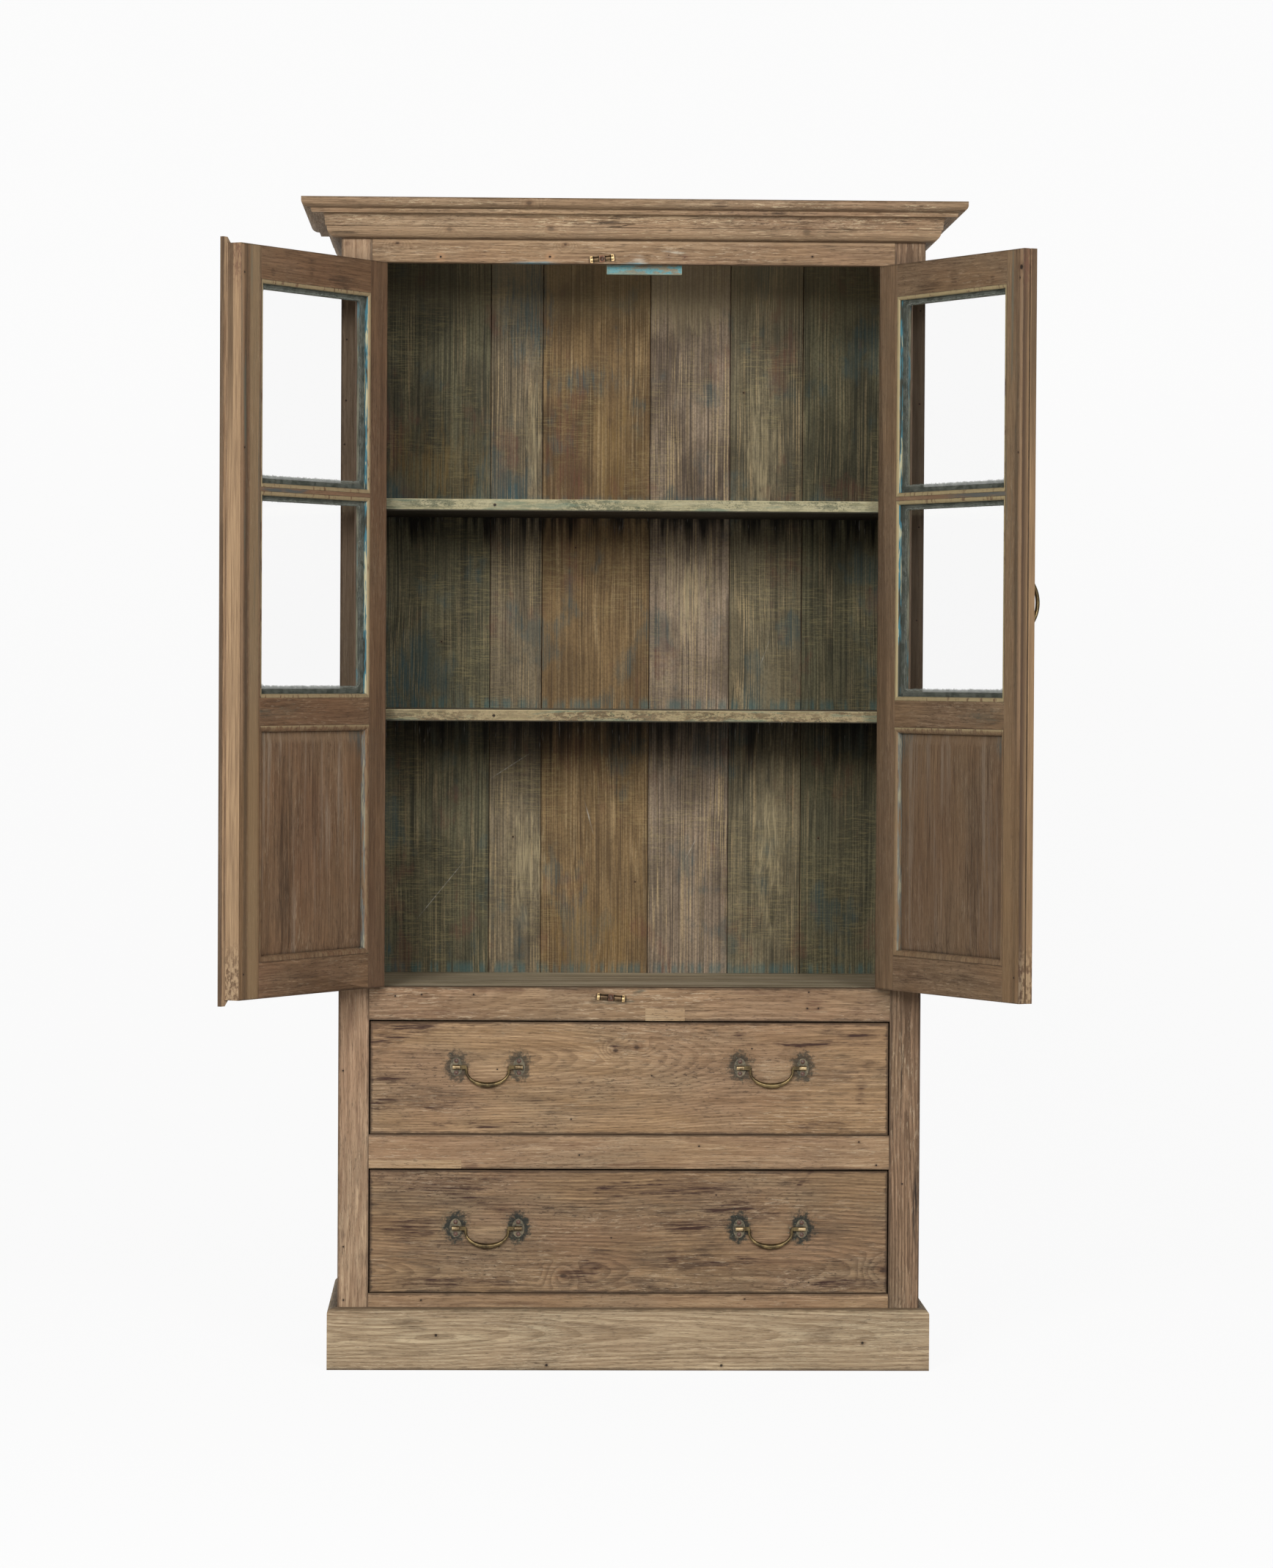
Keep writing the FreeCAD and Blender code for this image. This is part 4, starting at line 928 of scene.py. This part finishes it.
def dress_door_part(board, door, part, side):
    """Marks of one member of a door."""
    g = board.g
    if part == "meeting_stile":
        meeting_stile_marks(board, side)
    if part == "hinge_stile":
        tone, strength = ((80, 61, 46), 0.5) if side < 0 else ((98, 82, 63), 0.3)
        board.tint(tone, strength, g.either(board.broad, 0.5))
    if part == "glazing_bar":
        board.tint((140, 110, 86), 0.5)
        half = g.ramp(g.gap(board.x), 260, 160)
        board.tint((56, 88, 94), 0.6, half, board.lay(10, 60, 0.45, 0.6))
    if part == "panel":
        panel_marks(board, side)
    if part in DOOR_SMEARS:
        blots, *look = DOOR_SMEARS[part]
        board.smears(mirrored(side, blots), *look)
    if part != "panel":
        board.edges(3, 0.5)
        putty(board, door)
    board.grime_and_crevice_shade(8, 0.75, (42, 38, 30))


def make_beads(door, wood, seed):
    """Beads of rubbed cream paint over teal; the panel's mouldings keep only traces of it."""
    board = Board(door + "_beads", wood, "z", seed)
    g = board.g
    x, y, z = board.place
    spot = g.joined(x, y, z)
    glazed = g.ramp(z, *GLAZING_FOOT)
    hinge = g.ramp(g.gap(x), *HINGE_BEADS)
    chips = g.noise(g.scaled(spot, (120, 120, 26)), 1, 4, 0.7)
    paint, rubbed = ((170, 152, 116), 0.05) if door == "left_door" else ((176, 160, 120), 0.12)
    kept = g.add(g.times(glazed, 0.12), g.times(hinge, rubbed))
    cream = g.fade(g.less(chips, kept), 0.50, 0.42)
    board.mix(g.blend(glazed, (132, 110, 82), paint), cream, 0.7)
    inner = g.ramp(y, 25.2, 24)
    board.tint((96, 98, 80), 0.85, inner, glazed)
    ragged = g.noise(g.scaled(spot, (170, 170, 14)), 1, 3, 0.6)
    shaded = g.times(inner, hinge, g.add(0.3, g.times(glazed, 0.7)))
    board.tint((34, 40, 40), 0.8, shaded)
    board.tint((68, 124, 138), 0.85, shaded, g.fade(ragged, 0.45, 0.52))
    board.tint((206, 194, 152), 0.8, shaded, g.fade(ragged, 0.56, 0.60))
    joint = g.near(pane_depth(g, door, board.place), -1, 1.1)
    board.tint((40, 34, 26), 0.75, joint, g.either(board.broad, 0.4))
    board.edges(1.2)
    board.grime_and_crevice_shade(5, 0.7, (36, 36, 30))


# Brass: tone of its bright parts and of its dull ones
BAIL = ((124, 106, 72), (68, 57, 40))
PLATE = ((188, 164, 124), (96, 80, 58))
BUTTON = ((120, 98, 72), (78, 62, 46))
HANDLE = ((126, 108, 74), (84, 71, 50))
# Turn buttons: half length in millimetres and tilt in degrees
BUTTON_FORMS = {"upper_turn_button": (22, 6), "lower_turn_button": (25.5, -4.7)}

PLATE_FACE = (-3, -2.2)
SCREW_HEAD = 4


def brass(name, tones, screws=(), hollows=3, bands=()):
    """Aged brass, green in its hollows. Plates with rusty screws are duller than knuckles,
    and bands are lists of blots with the colour laid on each list: rust on a screw, and on the
    turn buttons painted highlights and painted shade lines."""
    g = Graph("brass_" + name)
    place = closed_place(g, name)
    vector = g.joined(*place)
    dull = g.fade(g.noise(vector, 70, 3, 0.6), 0.35, 0.65)
    colour = g.blend(dull, *tones)
    green = g.fade(g.noise(vector, 210, 5, 0.7), 0.44, 0.60)
    hollow = g.crevice(hollows)
    colour = g.over(colour, (100, 110, 92), green, hollow)
    colour = g.over(colour, (36, 33, 26), hollow, 0.6)
    metallic = g.less(0.9, g.times(hollow, 0.5))
    rough = g.add(0.3, g.times(dull, 0.12))
    for blots, shade in bands:
        colour = g.over(colour, shade, marks(g, place, blots, 0.3), 0.9)
    if screws:
        patina = g.ramp(place[1], *PLATE_FACE)
        colour = g.over(colour, g.blend(green, (98, 91, 73), (42, 43, 35)), patina, 0.85)
        rough = g.add(rough, g.times(patina, 0.22))
        rust = marks(g, place, round_spots(screws, SCREW_HEAD), 0.08)
        grain = g.fade(g.noise(vector, 500, 3, 0.6), 0.35, 0.65)
        colour = g.blend(rust, colour, g.blend(grain, (98, 67, 50), (60, 42, 32)))
        metallic = g.times(metallic, g.less(1, g.times(patina, 0.7)), g.less(1, rust))
    normal = g.bump(g.noise(vector, 500, 3), 0.08, 0.5)
    return g.shade(colour, rough, normal, metallic)


def button_bands(name):
    """Rusty screw, painted highlights near the ends, and painted shade lines across a turn button.
    """
    half, tilt = BUTTON_FORMS[name]
    pivot = next(joint["pos_m"] for joint in frame["joints"] if joint["child"] == name)
    along, up = math.cos(math.radians(tilt)), math.sin(math.radians(tilt))

    def across(places, width):
        return [(pivot[0] / MM + place * along, pivot[2] / MM + place * up, width, 12, tilt)
                for place in places]

    # Painted highlights sit near the ends; painted shade lines cross the button
    highlight_at = half - 4
    return ((across((0,), 4.2), (84, 54, 42)), (across((-highlight_at, highlight_at), 2.2), (214, 184, 134)),
            (across((-5.4, 5.4, 3.4 - highlight_at, highlight_at - 3.4, -half, half), 0.8), (34, 27, 20)))


def steel(name):
    g = Graph("steel_" + name)
    place = g.node("TexCoord").outputs["Object"]
    rust = g.fade(g.noise(place, 220, 5, 0.7), 0.36, 0.6)
    colour = g.blend(rust, (116, 104, 92), (86, 56, 42))
    normal = g.bump(g.noise(place, 900, 3), 0.1, 0.6)
    return g.shade(colour, g.add(0.45, g.times(rust, 0.35)), normal, 0.6)


# Width of the grime inside a pane's hinge side, free side, bottom and top
GRIME_WIDTHS = (20, 13, 19, 14)
GRIME_ROUNDING = 14


def glass(door):
    """Thin old pane: clear, with grime round its border and a faint reflection."""
    g = Graph("glass_" + door)
    place = closed_place(g, door + "_panes")
    vector = g.joined(*place)
    ragged = g.times(g.less(g.noise(vector, 120, 4, 0.75), 0.5), 9 * MM)
    depth = g.add(pane_depth(g, door, place, GRIME_WIDTHS, GRIME_ROUNDING), ragged)
    uneven = g.fade(g.noise(vector, 90, 3), 0.4, 0.6)
    tone = g.blend(uneven, (118, 121, 112), (88, 92, 84))
    tone = g.over(tone, (160, 166, 158), g.near(depth, -1.5, 2), 0.5)
    clear = g.out("BsdfTransparent", ("Color", WHITE))
    normal = g.bump(g.noise(vector, 6), 0.4, 0.4)
    shine = g.out("BsdfGlossy", ("Color", WHITE), ("Roughness", 0.03), ("Normal", normal))
    facing = g.node("LayerWeight", (("Blend", 0.25),)).outputs["Facing"]
    front = g.less(1, g.node("NewGeometry").outputs["Backfacing"])
    gloss = g.times(g.add(0.03, g.times(g.math("POWER", facing, 4), 0.4)), front)
    film = g.times(g.ramp(depth, 1, -1.5), 0.6)
    return g.close(g.mixed(film, g.mixed(gloss, clear, shine),
                           g.out("BsdfDiffuse", ("Color", tone))))


def make_metal_and_glass():
    for drawer, (_, level, *_) in DRAWERS.items():
        for part in ("_left_bail", "_right_bail"):
            dress(drawer + part, brass(drawer + part, BAIL))
        screws = [(x, z + rise) for x, z in plate_places(level)
                  for rise in (-PLATE_SCREW, PLATE_SCREW)]
        dress(drawer + "_pull_plates", brass(drawer + "_pull_plates", PLATE, screws))
    for name in BUTTON_FORMS:
        dress(name, brass(name, BUTTON, hollows=1, bands=button_bands(name)))
    dress("right_door_handle", brass("right_door_handle", HANDLE))
    for name in ("hinge_frame_leaves", "pivot_pins", "left_door_hinge_leaves",
                 "right_door_hinge_leaves"):
        dress(name, steel(name))
    for door in DOORS:
        dress(door + "_panes", glass(door))


def placed(name, data):
    """New object in the scene."""
    piece = bpy.data.objects.new(name, data)
    bpy.context.scene.collection.objects.link(piece)
    return piece


def seen_by(g, *kinds):
    """1 for the kinds of ray named."""
    path = g.node("LightPath").outputs
    return g.either(*(path["Is " + kind + " Ray"] for kind in kinds))


# Stage, in metres: half width of the floor, place and height of the backdrop, radius and
# steps of the bend between the two
FLOOR_REACH = 9
BACKDROP_DEPTH = 3.2
BACKDROP_RISE = 7
BEND_RADIUS = 1.5
BEND_STEPS = 12
BACKDROP_GLOW = 0.93
WORLD_STRENGTH = 0.18


def stage_mesh():
    """Floor that runs up into a backdrop."""
    start = BACKDROP_DEPTH - BEND_RADIUS
    turns = [math.pi / 2 * step / BEND_STEPS for step in range(BEND_STEPS + 1)]
    profile = [(-FLOOR_REACH, 0)]
    profile += [(start + BEND_RADIUS * math.sin(turn), BEND_RADIUS * (1 - math.cos(turn)))
                for turn in turns]
    profile.append((BACKDROP_DEPTH, BACKDROP_RISE))
    points = [Vector((side * FLOOR_REACH, y, z)) for y, z in profile for side in (-1, 1)]
    faces = [(2 * k, 2 * k + 1, 2 * k + 3, 2 * k + 2) for k in range(len(profile) - 1)]
    mesh = bpy.data.meshes.new("studio_floor")
    mesh.from_pydata(points, [], faces)
    for face in mesh.polygons:
        face.use_smooth = True
    return mesh


def make_stage():
    """Pale floor and backdrop, clear from behind, and a dim world that looks white."""
    floor = placed("studio_floor", stage_mesh())
    g = Graph("studio_floor")
    place = g.node("TexCoord").outputs["Object"]
    tone = g.blend(g.noise(place, 3), (226, 226, 225), (232, 232, 231))
    plain = g.out("BsdfDiffuse", ("Color", tone))
    white = g.out("Emission", ("Color", WHITE), ("Strength", 1))
    seen = g.times(seen_by(g, "Camera", "Transmission", "Glossy"), BACKDROP_GLOW)
    behind = g.node("NewGeometry").outputs["Backfacing"]
    clear = g.out("BsdfTransparent", ("Color", WHITE))
    floor.data.materials.append(g.close(g.mixed(behind, g.mixed(seen, plain, white), clear)))

    g = Graph("studio", bpy.data.worlds, "OutputWorld")
    light = g.either(seen_by(g, "Camera", "Transmission"), WORLD_STRENGTH)
    bpy.context.scene.world = g.close(g.out("Background", ("Color", WHITE), ("Strength", light)))


def lamp(name, place, power):
    """Square soft light, two metres wide, that faces the middle of the cabinet."""
    data = bpy.data.lights.new(name, "AREA")
    data.shape = "SQUARE"
    data.size = 2
    data.energy = power
    piece = placed(name, data)
    piece.location = place
    piece.rotation_euler = (Vector((0, 0, 1)) - Vector(place)).to_track_quat("-Z", "Y").to_euler()


def make_camera():
    data = bpy.data.cameras.new("camera")
    data.sensor_width = SENSOR
    data.lens = FOCAL_LENGTH_PX / FRAME_HEIGHT_PX * SENSOR
    place = Matrix.Translation(CAMERA_PLACE)
    for degrees, axis in ((-CAMERA_YAW, "Z"), (90 - CAMERA_PITCH, "X"), (CAMERA_ROLL, "Z")):
        place @= Matrix.Rotation(math.radians(degrees), 4, axis)
    camera = placed("camera", data)
    camera.matrix_world = place
    bpy.context.scene.camera = camera


bpy.context.scene.view_settings.view_transform = "Standard"
make_camera()
make_stage()
lamp("key", (-2.1, -7, 3.2), 325)
lamp("fill", (2.2, -7, 3), 215)
make_cornice()
make_face_frame()
make_plinth()
make_case()
make_back()
make_shelves()
make_drawers()
make_doors()
make_metal_and_glass()
for board in Board.made:
    board.finish()
